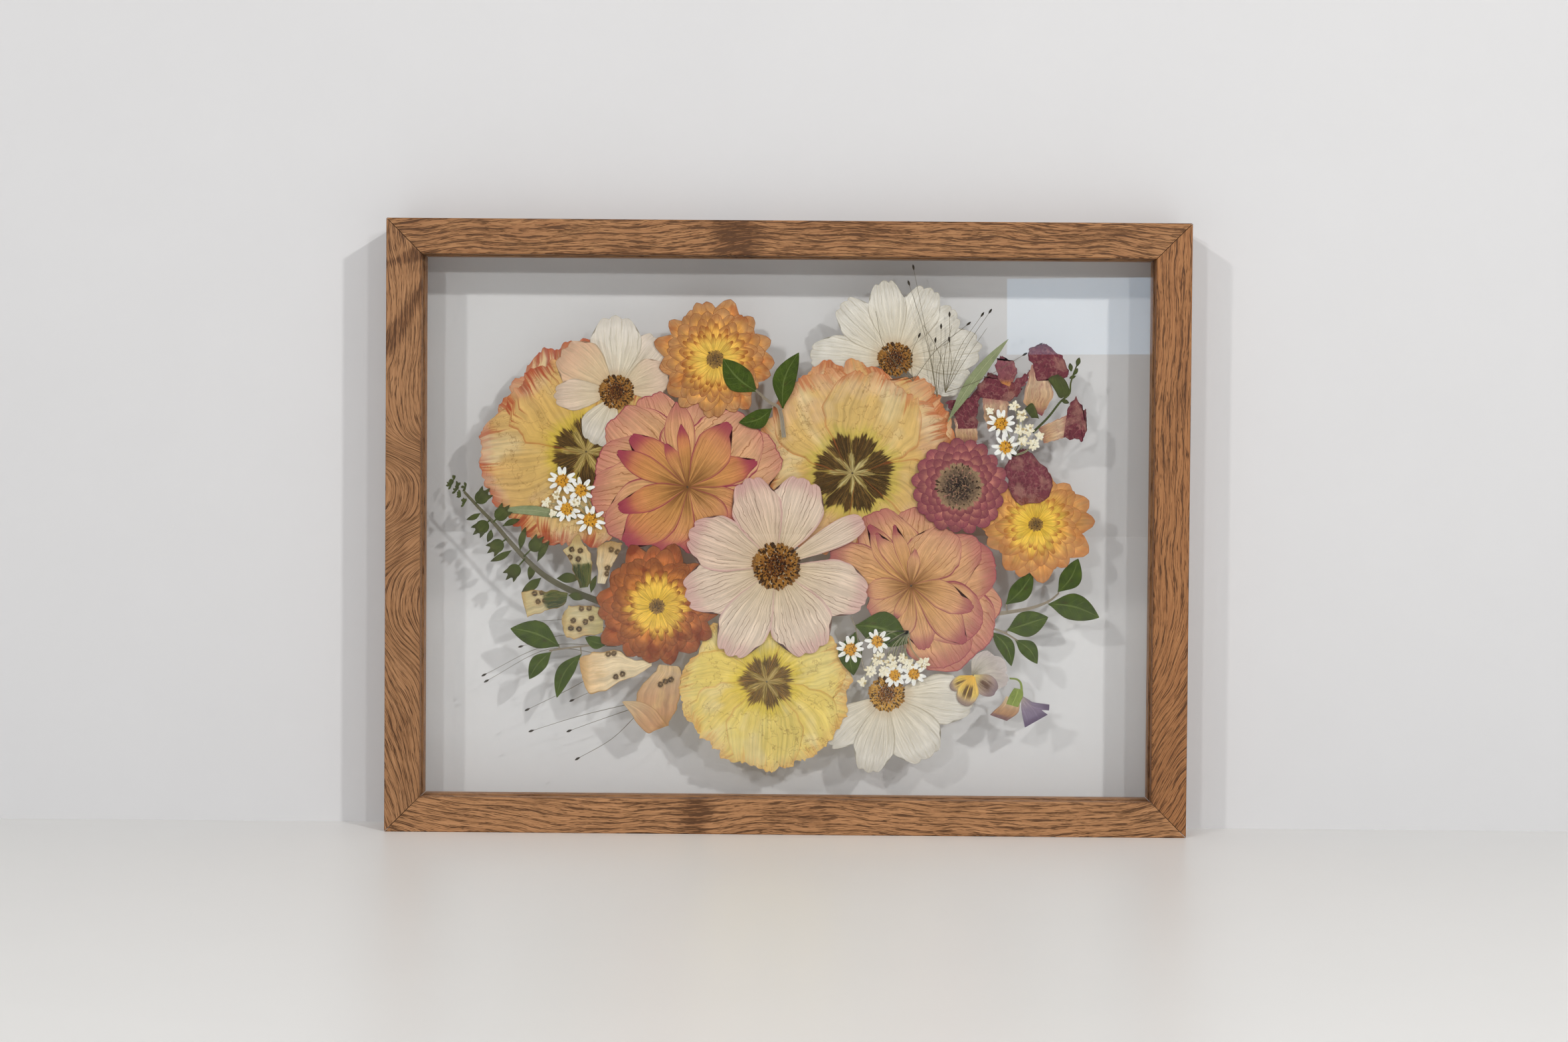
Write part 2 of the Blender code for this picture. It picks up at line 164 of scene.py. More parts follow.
class Finish(Builder):
    """A material under construction. Places are in millimetres."""

    def __init__(self, name):
        self.material = bpy.data.materials.new(name)
        self.material.use_nodes = True
        self.tree = self.material.node_tree
        self.shader = self.tree.nodes["Principled BSDF"]

    def place(self, centre=(0, 0)):
        """The place on the piece, from a centre (x, z)."""
        where = self.node("TexCoord", "Object")
        return self.node("Mapping", settings={"vector_type": "TEXTURE"}, Vector=where,
                         Location=(centre[0] * MM, 0, centre[1] * MM), Scale=(MM, MM, MM))

    def parts(self, vector):
        split = self.tree.nodes.new("ShaderNodeSeparateXYZ")
        plug(self.tree, vector, split.inputs[0])
        return [Signal(self.tree, output) for output in split.outputs]

    def join(self, x=0.0, y=0.0, z=0.0):
        return self.node("CombineXYZ", X=x, Y=y, Z=z)

    def uv(self):
        """Across the sheet from 0 to 1, and along it from base to tip."""
        across, along, _ = self.parts(self.node("UVMap", settings={"uv_map": "UVMap"}))
        return across, along

    def note(self, name):
        """A number stored on the mesh, such as a petal's tone."""
        return self.node("Attribute", "Fac", {"attribute_name": name})

    def noise(self, vector, scale=1.0, detail=3.0, rough=0.55):
        return self.node("TexNoise", Vector=vector, Scale=scale, Detail=detail, Roughness=rough)

    def cells(self, vector, scale, feature="F1"):
        return self.node("TexVoronoi", settings={"feature": feature}, Vector=vector, Scale=scale)

    def mix(self, share, under, over, way="MIX"):
        """Blends two colours. A Mix node keeps its colour sockets at 6 and 7, and its result at 2."""
        node = self.tree.nodes.new("ShaderNodeMix")
        node.data_type, node.blend_type = "RGBA", way
        for index, value in ((0, share), (6, under), (7, over)):
            plug(self.tree, value, node.inputs[index])
        return Signal(self.tree, node.outputs[2])

    def ramp(self, signal, stops):
        """Colours along a signal, from (place, colour) pairs."""
        node = self.tree.nodes.new("ShaderNodeValToRGB")
        elements = node.color_ramp.elements
        elements.remove(elements[1])
        elements[0].position, elements[0].color = stops[0][0], paint(stops[0][1])
        for place, colour in stops[1:]:
            elements.new(place).color = paint(colour)
        plug(self.tree, signal, node.inputs[0])
        return Signal(self.tree, node.outputs[0])

    def swapped(self, share, other):
        """Shows another shader in place of the material's own, by a share that is a signal."""
        mixed = self.tree.nodes.new("ShaderNodeMixShader")
        own = Signal(self.tree, self.shader.outputs[0])
        for index, value in enumerate((share, own, other)):
            plug(self.tree, value, mixed.inputs[index])
        output = self.tree.nodes["Material Output"]
        self.tree.links.new(mixed.outputs[0], output.inputs["Surface"])

    def radius(self, vector):
        """x and z of a place, and how far it is from the centre."""
        x, _, z = self.parts(vector)
        return x, z, (x * x + z * z).maths("SQRT")

    def shaded(self, colour, shade):
        """A colour times a grey signal."""
        return self.mix(1.0, colour, self.join(shade, shade, shade), "MULTIPLY")

    def done(self, colour, roughness=0.6, relief=None, depth=0.05, alpha=None, gloss=0.3):
        """Sets the shader. relief is a height signal, and depth what its full range is, in mm."""
        plug(self.tree, colour, self.shader.inputs["Base Color"])
        plug(self.tree, roughness, self.shader.inputs["Roughness"])
        self.shader.inputs["Specular IOR Level"].default_value = gloss
        if relief is not None:
            bump = self.node("Bump", Height=relief, Distance=depth * MM, Strength=1.0)
            plug(self.tree, bump, self.shader.inputs["Normal"])
        if alpha is not None:
            plug(self.tree, alpha, self.shader.inputs["Alpha"])
        return self.material


print("helpers ready")

# %% [markdown]
# ## Oak
# The rails are oak with an open grain. Growth rings are sheets through the wood, so a number that
# counts rings is worked out from the place in the board: how far across, how far back, and how
# the board wanders along its length. The pores are short dark dashes that follow the same sheets.
# A curve for each rail says how the lines drift sideways along it, which draws the arches of the
# left rail and the slanted lines at the foot of the right one.

# %% Oak with its own drift for each rail
RING_PITCH = 3.6
DRIFT_RANGE = 200.0


def oak(name, upright, drift, light="9d7450", mid="845c39", dark="40240f", seed=0.0, ripple=1.0,
        dense=0.0, arch=0.0, centre=0.0, bands=()):
    """drift holds (place along the rail 0..1, sideways drift in mm) pairs.

    bands are dark patches of dense pores: their place along the rail, slant and half width in mm.
    """
    finish = Finish(name)
    x, back, z = finish.parts(finish.place())
    along, across = (z, x) if upright else (x, z)
    length = (cad_high.z - cad_low.z) / MM if upright else (cad_high.x - cad_low.x) / MM
    share = along / length if upright else along / length + 0.5
    curve = finish.tree.nodes.new("ShaderNodeFloatCurve")
    points = curve.mapping.curves[0].points
    while len(points) < len(drift):
        points.new(0.5, 0.5)
    for point, (at, shift) in zip(points, drift):
        point.location = (at, 0.5 + shift / DRIFT_RANGE)
    curve.mapping.update()
    plug(finish.tree, share, curve.inputs["Value"])
    shift = (Signal(finish.tree, curve.outputs[0]) - 0.5) * DRIFT_RANGE
    warp = finish.noise(finish.join(along * 0.02, across * 0.05, back * 0.05 + seed), 1.0, 1.0)
    bow = (across - centre).maths("ABSOLUTE") ** 1.6 * arch
    sheets = across + back * 0.45 + shift + (warp - 0.5) * (9.0 * ripple) + bow
    wander = finish.noise(finish.join(along * 0.06, sheets * 0.30, seed), 1.0, 1.0) - 0.5
    sheets = sheets + wander * (1.2 * ripple)
    rings = sheets / RING_PITCH
    phase = rings.maths("FRACT")
    early = phase.rises(0.52, 0.86) * phase.rises(1.0, 0.93)
    fibre = finish.noise(finish.join(sheets * 3.6, along * 0.07, back * 0.6 + seed), 1.0, 3.0, 0.6)
    pores = finish.noise(finish.join(sheets * 3.0, along * 0.12, back * 0.9 + seed + 7), 1.0, 2.0, 0.6)
    patch = finish.noise(finish.join(along * 0.018, across * 0.06, seed + 3), 1.0, 2.0)
    threshold = early * -0.10 - patch * 0.10 + (0.63 - dense)
    shade = patch.rises(0.5, 0.75) * 0.35
    for middle, slant, half in bands:
        gap = (along - across * slant - (middle - centre * slant)).maths("ABSOLUTE")
        band = (gap + (warp - 0.5) * 14.0 + (fibre - 0.5) * 6.0).rises(half * 1.3, half * 0.3)
        shade = shade.maths("MAXIMUM", band * 0.55)
        threshold = threshold - band * 0.09
    dash = (pores - threshold).rises(-0.01, 0.06)
    colour = finish.mix(fibre.rises(0.35, 0.68), paint(mid, OAK_LIFT), paint(light, OAK_LIFT))
    colour = finish.mix(early * 0.35, colour, paint("7c5434", OAK_LIFT))
    colour = finish.mix(shade, colour, paint("6c4527", OAK_LIFT))
    colour = finish.mix(dash * 0.85, colour, paint(dark, OAK_LIFT))
    relief = fibre * 0.35 - dash * 0.8
    roughness = fibre * 0.15 + 0.52
    return finish.done(colour, roughness, relief, 0.16, gloss=0.35)


OAK_RAILS = {
    "rail_top": dict(upright=False, drift=[(0, 6), (0.3, 0), (0.6, -3), (1, 4)], seed=2.0,
                     light="9c724b", mid="865b38", dark="42260f", dense=0.03,
                     bands=[(-30, 0.0, 14)]),
    "rail_bottom": dict(upright=False, drift=[(0, -14), (0.25, 0), (0.55, -3), (0.8, 2), (1, -6)],
                        seed=11.0, light="a87b54", mid="906641", dark="452a14", dense=0.02,
                        bands=[(-48, 0.0, 9)]),
    "rail_left": dict(
        upright=True, seed=23.0, arch=0.05, centre=-218.0, ripple=1.4,
        bands=[(322, 0.0, 3.5), (305, 0.3, 3.5), (257, 1.6, 8)],
        drift=[(0, -60), (0.25, -30), (0.38, 0), (0.47, -28), (0.56, -62), (0.66, 0), (0.74, 4),
               (0.86, 0), (1, 3)],
    ),
    "rail_right": dict(upright=True, drift=[(0, 62), (0.16, 30), (0.3, 4), (0.5, 0), (1, -3)],
                       seed=37.0, light="9a6b42", mid="815430", dark="402410"),
}
for name, look in OAK_RAILS.items():
    nodes[name].material_slots[0].material = oak(f"oak_{name}", **look)
for side in ("top", "bottom", "left", "right"):
    upright = side in ("left", "right")
    strip = oak(f"oak_strip_{side}", upright, [(0, 0), (1, 4)], seed=50.0 + len(side), ripple=0.5)
    nodes[f"glazing_strip_{side}"].material_slots[0].material = strip
print("oak on", len(OAK_RAILS), "rails and 4 glazing strips")

# %% [markdown]
# ## Glass
# Picture glass is clear, flat and smooth. Its shader is Principled with full transmission. Lamps
# have to reach the flowers and the wall behind it, so rays from lamps, and rays that bounce off a
# matt surface, meet a Transparent shader in its place. Without that the inside would be dark.

# %% Two clear panes
def clear_glass():
    finish = Finish("picture_glass")
    for name, value in (("Base Color", (1.0, 1.0, 1.0, 1)), ("Transmission Weight", 1.0),
                        ("IOR", 1.46), ("Roughness", 0.0)):
        finish.shader.inputs[name].default_value = value
    clear = finish.node("BsdfTransparent", Color=(0.995, 0.998, 0.996, 1))
    lamp_ray = finish.node("LightPath", "Is Shadow Ray")
    matt_ray = finish.node("LightPath", "Is Diffuse Ray")
    finish.swapped(lamp_ray.maths("MAXIMUM", matt_ray), clear)
    return finish.material


glass = clear_glass()
for name in ("glass_front", "glass_back"):
    nodes[name].material_slots[0].material = glass

# %% [markdown]
# ## Sheets
# A pressed petal is a sheet a thirtieth of a millimetre thick. Each one is a grid of points, its
# columns across the petal and its rows from base to tip, with a front, a back and a rim, so it is
# closed. The grid also gives the sheet its UV map, which the veins follow. Sheets of one flower
# are collected in one mesh. The first one added lies at the back, and each next one in front.

# %% Collect sheets in a mesh
SHEET = 0.035
SHEET_STEP = 0.045


class Sheets:
    """Thin closed sheets that become one mesh. Places are in mm, and smaller y is nearer."""

    def __init__(self, node=None, depth=None, step=SHEET_STEP, count=1):
        low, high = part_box(node) if node else (Vector(), Vector())
        middle = (low.y + high.y) / 2 / MM if depth is None else depth
        self.depth, self.step = middle + step * (count - 1) / 2, step
        self.points, self.faces, self.uvs, self.tones, self.seeds = [], [], [], [], []

    def add(self, x, z, tone=0.0, thick=SHEET, lift=0.0, seed=None):
        """Adds a grid of places. Rows run from base to tip, columns from right to left."""
        rows, columns = x.shape
        start, total = len(self.points), rows * columns
        front = np.full(x.shape, self.depth) - lift - thick / 2
        for y in (front, front + thick):
            self.points += np.stack([x, y, z], 2).reshape(-1, 3).tolist()
        v, u = np.meshgrid(np.linspace(0, 1, rows), np.linspace(0, 1, columns), indexing="ij")
        self.uvs += np.stack([u, v], 2).reshape(-1, 2).tolist() * 2
        at = start + np.arange(total).reshape(rows, columns)
        quads = np.stack([at[:-1, :-1], at[1:, :-1], at[1:, 1:], at[:-1, 1:]], 2).reshape(-1, 4)
        loop = np.concatenate([at[:, 0], at[-1, 1:], at[-2::-1, -1], at[0, -2:0:-1]])
        after = np.roll(loop, -1)
        rim = np.stack([loop, loop + total, after + total, after], 1)
        self.faces += quads.tolist() + (quads[:, ::-1] + total).tolist() + rim.tolist()
        self.tones += [tone] * (2 * total)
        self.seeds += [len(self.faces) * 0.37 % 10 if seed is None else seed] * (2 * total)
        self.depth -= self.step

    def mesh(self, name):
        made = bpy.data.meshes.new(name)
        made.from_pydata([[c * MM for c in p] for p in self.points], [], self.faces)
        corners = np.empty(len(made.loops), dtype=int)
        made.loops.foreach_get("vertex_index", corners)
        uv_map = made.uv_layers.new(name="UVMap")
        uv_map.data.foreach_set("uv", np.array(self.uvs)[corners].ravel())
        for key, values in (("tone", self.tones), ("seed", self.seeds)):
            made.attributes.new(key, "FLOAT", "POINT").data.foreach_set("value", values)
        return made


def linked(name, data):
    """A new object in the scene."""
    thing = bpy.data.objects.new(name, data)
    scene.collection.objects.link(thing)
    return thing


def evaluated(thing):
    """A plain mesh of an object as it is after its modifiers or its bevel. The object goes."""
    bpy.context.view_layer.update()
    seen = thing.evaluated_get(bpy.context.evaluated_depsgraph_get())
    mesh = bpy.data.meshes.new_from_object(seen)
    bpy.data.objects.remove(thing)
    return mesh


def piece_of(mesh, finish, slot, *replaced):
    """Makes a mesh a piece of the frame, which can stand for a solid."""
    mesh.materials.clear()
    mesh.materials.append(finish)
    piece = linked(mesh.name, mesh)
    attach(piece, "root")
    if replaced:
        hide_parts(*replaced)


print("a sheet is", SHEET, "mm thick")

# %% [markdown]
# ## The shape of a petal
# A petal widens from its foot to its belly and narrows to its tip. Its end can be round, pointed
# or cut into teeth, and dried petals are ragged, so a few random bumps move the edge.

# %% Petals
def bumps(random, where, count, size):
    """A smooth random wave, read at places from -1 to 1."""
    knots = np.linspace(-1, 1, count)
    return np.interp(where, knots, random.normal(0, size, count))


def bearing(start, end):
    """The angle in degrees of the line from one place to another."""
    return math.degrees(math.atan2(end[1] - start[1], end[0] - start[0]))


def nearest(path, place, count):
    """The place on a smooth path nearest to another place."""
    return min(smooth_path(path, count).tolist(), key=lambda spot: math.dist(spot, place))


def petal(centre, degrees, reach, width, hub=0.0, foot=0.25, belly=0.65, tip=0.55, rounding=0.15,
          teeth=0, tooth=0.04, ragged=0.008, fringe=0.0, bend=0.0, seed=0, rows=20, columns=14):
    """The grid of one petal that points along degrees from centre and ends at reach.

    foot and tip are its widths at its two ends as a share of width, and belly is where it is widest.
    """
    random = np.random.default_rng(seed)
    v = np.linspace(0, 1, rows + 1)[:, None]
    s = np.linspace(-1, 1, columns + 1)[None, :]
    swell = foot + (1 - foot) * np.sin(np.pi / 2 * np.clip(v / belly, 0, 1)) ** 1.3
    narrow = 1 - (1 - tip) * np.clip((v - belly) / (1 - belly), 0, 1) ** 2
    end = 1 - rounding * abs(s) ** 3.2 + bumps(random, s, 9, ragged) + bumps(random, s, 23, ragged / 2)
    end = end + bumps(random, s, 41, fringe)
    if teeth:
        end = end - tooth * (1 - abs(np.sin(np.pi * teeth * (s + 1) / 2)) ** 0.6)
    along = hub + (reach * end - hub) * v
    edge = 1 + bumps(random, v * 2 - 1, 11, ragged * 2) * np.clip(v * 3, 0, 1)
    side = s * width / 2 * swell * narrow * edge + bend * v**2
    return placed(centre, degrees, along, side)


def smooth_path(points, count):
    """A smooth curve through a few places."""
    p = np.array([points[0], *points, points[-1]], dtype=float)
    p[0], p[-1] = 2 * p[1] - p[2], 2 * p[-2] - p[-3]
    at = np.linspace(0, len(points) - 1 - 1e-9, count)
    i = at.astype(int)
    t = (at - i)[:, None]
    a, b, c, d = p[i], p[i + 1], p[i + 2], p[i + 3]
    return 0.5 * (2 * b + (c - a) * t + (2 * a - 5 * b + 4 * c - d) * t**2
                  + (3 * b - a - 3 * c + d) * t**3)


TINY = 1e-9


def headings(path):
    """The direction of a path at each of its places, one unit long."""
    ahead = np.gradient(path, axis=0)
    return ahead / (np.linalg.norm(ahead, axis=1, keepdims=True) + TINY)


def placed(centre, degrees, along, side):
    """Turns distances along and beside a direction into places x, z around a centre."""
    turn = math.radians(degrees)
    return (centre[0] + along * math.cos(turn) - side * math.sin(turn),
            centre[1] + along * math.sin(turn) + side * math.cos(turn))


def between(rows, count=18, columns=12, bulge=0.0, ragged=0.0, seed=0):
    """A grid between a right and a left edge: each row is (right x, right z, left x, left z)."""
    lines = smooth_path(rows, count)
    random, along = np.random.default_rng(seed), np.linspace(-1, 1, count)
    for column in range(4):
        lines[:, column] += bumps(random, along, 12, ragged) + bumps(random, along, 25, ragged / 2)
    right, left = lines[:, None, :2], lines[:, None, 2:]
    u = np.linspace(0, 1, columns)[None, :, None]
    grid = right + (left - right) * u
    ahead = headings((right[:, 0] + left[:, 0]) / 2)
    end = np.linspace(0, 1, count)[:, None, None] ** 6
    teeth = bumps(random, u[:, :, 0] * 2 - 1, 14, ragged)[:, :, None]
    grid = grid + ahead[:, None, :] * end * (bulge * (1 - (2 * u - 1) ** 2) + teeth)
    return grid[:, :, 0], grid[:, :, 1]


def ribbon(points, widths, count=40):
    """A narrow grid along a smooth curve, for stems. widths are at its two ends."""
    path = smooth_path(points, count)
    ahead = headings(path)
    half = np.linspace(widths[0], widths[1], count) / 2
    right = path + np.stack([ahead[:, 1], -ahead[:, 0]], 1) * half[:, None]
    left = path * 2 - right
    middle = np.stack([right, path, left], 1)
    return middle[:, :, 0], middle[:, :, 1]


def oval(centre, degrees, length, width, cells=10):
    """An ellipse's grid around its middle."""
    v = np.sin(np.linspace(-np.pi / 2, np.pi / 2, cells + 1))[:, None]
    side = np.linspace(-1, 1, cells + 1)[None, :] * np.sqrt(1.0001 - v**2) * width / 2
    return placed(centre, degrees, v * length / 2 + side * 0, side)


print("petals, ovals, sheets between two edges, and stems")

# %% [markdown]
# ## How petals are coloured
# A dried petal changes colour from its base to its tip, its veins run from the base and fan out,
# and its rim is often darker. A thin dark line along the edge is partly that rim and partly painted
# shade where one petal lies over the next. All of that follows the sheet, so it reads the UV map.
# The mesh also stores a tone for each petal, which blends between two runs of colour, and a seed,
# which keeps two petals from having the same veins. Thin petals let some light through: alpha does it.

# %% One finish for all petals
def petal_finish(name, run, other=None, vein="7a5c46", veins=0.35, lines=26.0, rim=None, rim_share=0.5,
                 rim_from=0.86, rim_grows=0.0, clear=0.0, blotch=None, relief=0.07, grain=0.06,
                 mottle=0.30, vary=0.0, combs=0, outline_and_shade=0.0, extra=None):
    """run and other are colour stops from base to tip, at tone 0 and at tone 1.

    lines counts the veins across, and combs the long even ones that some petals have. clear is how
    much light a petal lets through. extra adds a flower's own marks under its veins.
    """
    finish = Finish(name)
    across, along = finish.uv()
    seed, tone = finish.note("seed"), finish.note("tone")
    place = finish.place()
    side = (across * 2.0 - 1.0).maths("ABSOLUTE")
    soft = finish.noise(place, 0.16, 3.0)
    sway = (finish.noise(finish.join(across * 2.5, along * 1.2, seed * 5.0), 1.0, 1.0) - 0.5) * 0.10
    fan = finish.join((across + sway) * lines, along * 1.3, seed * 9.0)
    streak = finish.noise(fan, 1.0, 3.0, 0.6)
    hair = (streak - 0.5).maths("ABSOLUTE").rises(0.030, 0.0)
    if combs:
        ticks = ((across + sway) * combs + (soft - 0.5) * 1.4).maths("FRACT") - 0.5
        faint = finish.noise(finish.join(across * 8.0, along * 2.5, seed * 2.0), 1.0, 1.0)
        hair = (hair * 0.5).maths("MAXIMUM", ticks.maths("ABSOLUTE").rises(0.12, 0.03)
                                * faint.rises(0.34, 0.58))
    wide = finish.noise(finish.join((across + sway) * (lines * 0.3), along * 0.8, seed * 4.0), 1.0, 2.0)
    shift = along + (soft - 0.5) * 0.16
    colour = finish.ramp(shift, run)
    if other:
        colour = finish.mix(tone, colour, finish.ramp(shift, other))
    if blotch:
        spread = (finish.noise(place, 0.10, 2.0) + (wide - 0.5) * 0.3).rises(0.50, 0.66)
        spread = spread * (tone * -0.85 + 1.0) if other else spread
        colour = finish.mix(spread * blotch[1], colour, paint(blotch[0]))
    if extra:
        colour = extra(finish, colour, across, along, seed, tone, place)
    colour = finish.mix(hair * veins, colour, paint(vein))
    shade = (streak - 0.5) * (grain * 4.0) + (wide - 0.5) * 0.35 + (soft - 0.5) * mottle + 1.0
    if vary:
        shade = shade + ((seed * 3.7).maths("FRACT") - 0.5) * vary
    colour = finish.shaded(colour, shade)
    if rim:
        tipward = along * 0.5 + 0.5
        edge = side.maths("MAXIMUM", along.rises(0.0, 1.0)) + (streak - 0.5) * 0.16
        line = edge.rises(rim_from, 1.0) * tipward
        if other and rim_grows:
            line = line * (tone * (1.0 - rim_grows) + rim_grows)
        colour = finish.mix(line * rim_share, colour, paint(rim))
    # A thin dark line along the petal's edge: partly the petal's own darker edge, partly painted shade
    # where one petal lies over the next.
    if outline_and_shade:
        edge_and_shade_line = side.maths("MAXIMUM", along ** 4.0) + (streak - 0.5) * 0.05
        colour = finish.mix(edge_and_shade_line.rises(0.945, 0.985) * outline_and_shade, colour, paint(rim))
    height = streak * 0.5 + wide * 0.9
    alpha = None
    if clear:
        body = hair * 0.30 + (soft - 0.5) * 0.15 + (streak - 0.5) * 0.5
        alpha = (body + (1.0 - clear)).maths("MINIMUM", 1.0)
    return finish.done(colour, 0.72, height, relief, alpha, gloss=0.15)


print("petal finish ready")

# %% [markdown]
# ## Flower discs
# The middle of a daisy-like flower is packed with tiny florets, each turned from the last by the
# golden angle. Geometry Nodes grow them: points in a spiral, a small ball on each, longer towards
# the rim. Each floret keeps its distance from the middle and a random number for its colour.

# %% Geometry Nodes for a disc of florets
class Grower(Builder):
    """A geometry tree under construction."""

    family = "GeometryNode"

    def __init__(self, name, inputs):
        self.tree = bpy.data.node_groups.new(name, "GeometryNodeTree")
        self.tree.interface.new_socket("Geometry", in_out="OUTPUT", socket_type="NodeSocketGeometry")
        self.sockets = {}
        for key, kind in inputs.items():
            socket = self.tree.interface.new_socket(key, in_out="INPUT", socket_type="NodeSocket" + kind)
            self.sockets[key] = socket.identifier
        entry = self.tree.nodes.new("NodeGroupInput")
        self.given = {key: Signal(self.tree, entry.outputs[key]) for key in inputs}
        self.index = self.node("InputIndex")

    def join(self, x=0.0, y=0.0, z=0.0):
        made = self.tree.nodes.new("ShaderNodeCombineXYZ")
        for socket, value in zip(made.inputs, (x, y, z)):
            plug(self.tree, value, socket)
        return Signal(self.tree, made.outputs[0])

    def chance(self, low, high, offset):
        """A random number for each point. The node's number sockets are 2, 3 and 8 for the seed."""
        made = self.tree.nodes.new("FunctionNodeRandomValue")
        for index, value in ((2, low), (3, high), (8, self.given["Seed"] + offset)):
            plug(self.tree, value, made.inputs[index])
        return Signal(self.tree, made.outputs[1])

    def grow(self, count, position, instance, rotation, scale, notes):
        """Instances on points, with their notes, made real and given the material."""
        points = self.node("Points", Count=count, Position=position)
        placed = self.node("InstanceOnPoints", Points=points, Instance=instance, Rotation=rotation,
                           Scale=scale)
        for key, value in notes.items():
            placed = self.node("StoreNamedAttribute", settings={"domain": "INSTANCE"},
                               Geometry=placed, Name=key, Value=value)
        real = self.node("RealizeInstances", Geometry=placed)
        done = self.node("SetMaterial", Geometry=real, Material=self.given["Material"])
        exit_node = self.tree.nodes.new("NodeGroupOutput")
        self.tree.links.new(done.socket, exit_node.inputs[0])

    def run(self, name, **values):
        """Runs the tree with its inputs set by identifier, and gives back a plain mesh."""
        empty = bpy.data.meshes.new(name)
        holder = linked(name, empty)
        modifier = holder.modifiers.new("grow", "NODES")
        modifier.node_group = self.tree
        for key, value in values.items():
            modifier[self.sockets[key.replace("_", " ")]] = value
        mesh = evaluated(holder)
        bpy.data.meshes.remove(empty)
        mesh.name = name
        return mesh


def disc_tree():
    grower = Grower("floret_disc", {"Material": "Material", "Count": "Int", "Radius": "Float",
                                    "Floret": "Float", "Depth": "Float", "Seed": "Int"})
    given = grower.given
    share = ((grower.index + 0.5) / given["Count"]).maths("SQRT")
    angle = grower.index * GOLDEN_TURN + grower.chance(-0.2, 0.2, 1)
    radius = share * given["Radius"] * grower.chance(0.94, 1.05, 2)
    height = share * share * given["Depth"] - given["Depth"]
    size = given["Floret"] * (share * 0.2 + 0.9) * grower.chance(0.8, 1.2, 3)
    ball = grower.node("MeshIcoSphere", Radius=1.0, Subdivisions=1)
    position = grower.join(radius * angle.maths("COSINE"), height, radius * angle.maths("SINE"))
    scale = grower.join(size * (share * share * 0.9 + 0.9), given["Depth"] * 0.8, size)
    grower.grow(given["Count"], position, ball, grower.join(0.0, angle * -1.0, 0.0), scale,
                {"tone": share, "seed": grower.chance(0.0, 1.0, 4)})
    return grower


def moved(mesh, x, y, z):
    """Puts a mesh at a place in mm."""
    mesh.transform(Matrix.Translation((x * MM, y * MM, z * MM)))
    return mesh


FLORET_FILL = 0.80
florets = disc_tree()


def disc_of_florets(name, finish, place, radius, count, slot="cosmos_petal", depth=0.10, seed=3):
    """A disc packed full of florets, at a place (x, y, z) in mm."""
    floret = FLORET_FILL * radius * math.sqrt(math.pi / count)
    disc = florets.run(name, Material=finish, Count=count, Radius=radius * MM, Floret=floret * MM,
                       Depth=depth * MM, Seed=seed)
    return piece_of(moved(disc, *place), finish, slot)


def disc_finish(name, run, dark, dark_share, tip):
    """Colours from the middle to the rim, with a share of dark florets."""
    finish = Finish(name)
    tone, seed, place = finish.note("tone"), finish.note("seed"), finish.place()
    colour = finish.ramp(tone, run)
    colour = finish.mix(seed.rises(0.5, 1.0) * 0.5, colour, paint(tip))
    chosen = (seed * 7.3).maths("FRACT").rises(1.0 - dark_share, 1.02 - dark_share)
    colour = finish.mix(chosen * 0.9, colour, paint(dark))
    speck = finish.noise(place, 2.5, 3.0)
    colour = finish.shaded(colour, (speck - 0.5) * 1.2 + 1.0)
    return finish.done(colour, 0.8, speck, 0.1, gloss=0.1)


print("disc tree has", len(florets.tree.nodes), "nodes")

# %% [markdown]
# ## Cosmos
# Four pale cosmos flowers have up to eight broad petals, notched at the end, so thin that the
# wall behind shows through, and a disc of brown and golden florets. The middle one lies in
# front of everything. Some of its petals are blushed with pink and one has folded to a spike.

# %% Cosmos petals and discs
WHITE = [(0.0, "bfa478"), (0.25, "d2bfa2"), (0.7, "dccab6"), (1.0, "d8c2ae")]
PINK = [(0.0, "bfa078"), (0.3, "d2baa0"), (0.75, "d8bca8"), (1.0, "cda898")]
cosmos_white = petal_finish("cosmos_white", WHITE, PINK, vein="684c3c", veins=0.75, lines=34, combs=12,
                            outline_and_shade=0.35, rim="b8848a", rim_share=0.40, rim_from=0.9, clear=0.16,
                            relief=0.07, grain=0.11, mottle=0.08)
cosmos_pale = petal_finish("cosmos_pale", [(0.0, "cbae83"), (0.3, "ecdac6"), (1.0, "f0e0d8")],
                           [(0.0, "cdb08a"), (0.4, "e6c8a0"), (1.0, "e4b494")], vein="8c8268",
                           veins=0.55, lines=30, combs=9, outline_and_shade=0.45, rim="9c8f74", rim_share=0.3,
                           rim_from=0.93, clear=0.44, relief=0.06, grain=0.09, mottle=0.08)
golden_disc = disc_finish("golden_disc", [(0.0, "5c3416"), (0.42, "7c4e20"), (0.60, "a87a34"),
                                          (0.84, "b88c40"), (1.0, "8a6028")], "34200f", 0.34, "b08a48")
cosmos_disc = disc_finish("cosmos_disc", [(0.0, "4c2a10"), (0.42, "5c3416"), (0.60, "7e5224"),
                                          (0.84, "946830"), (1.0, "6c4820")], "24140a", 0.40, "94692f")
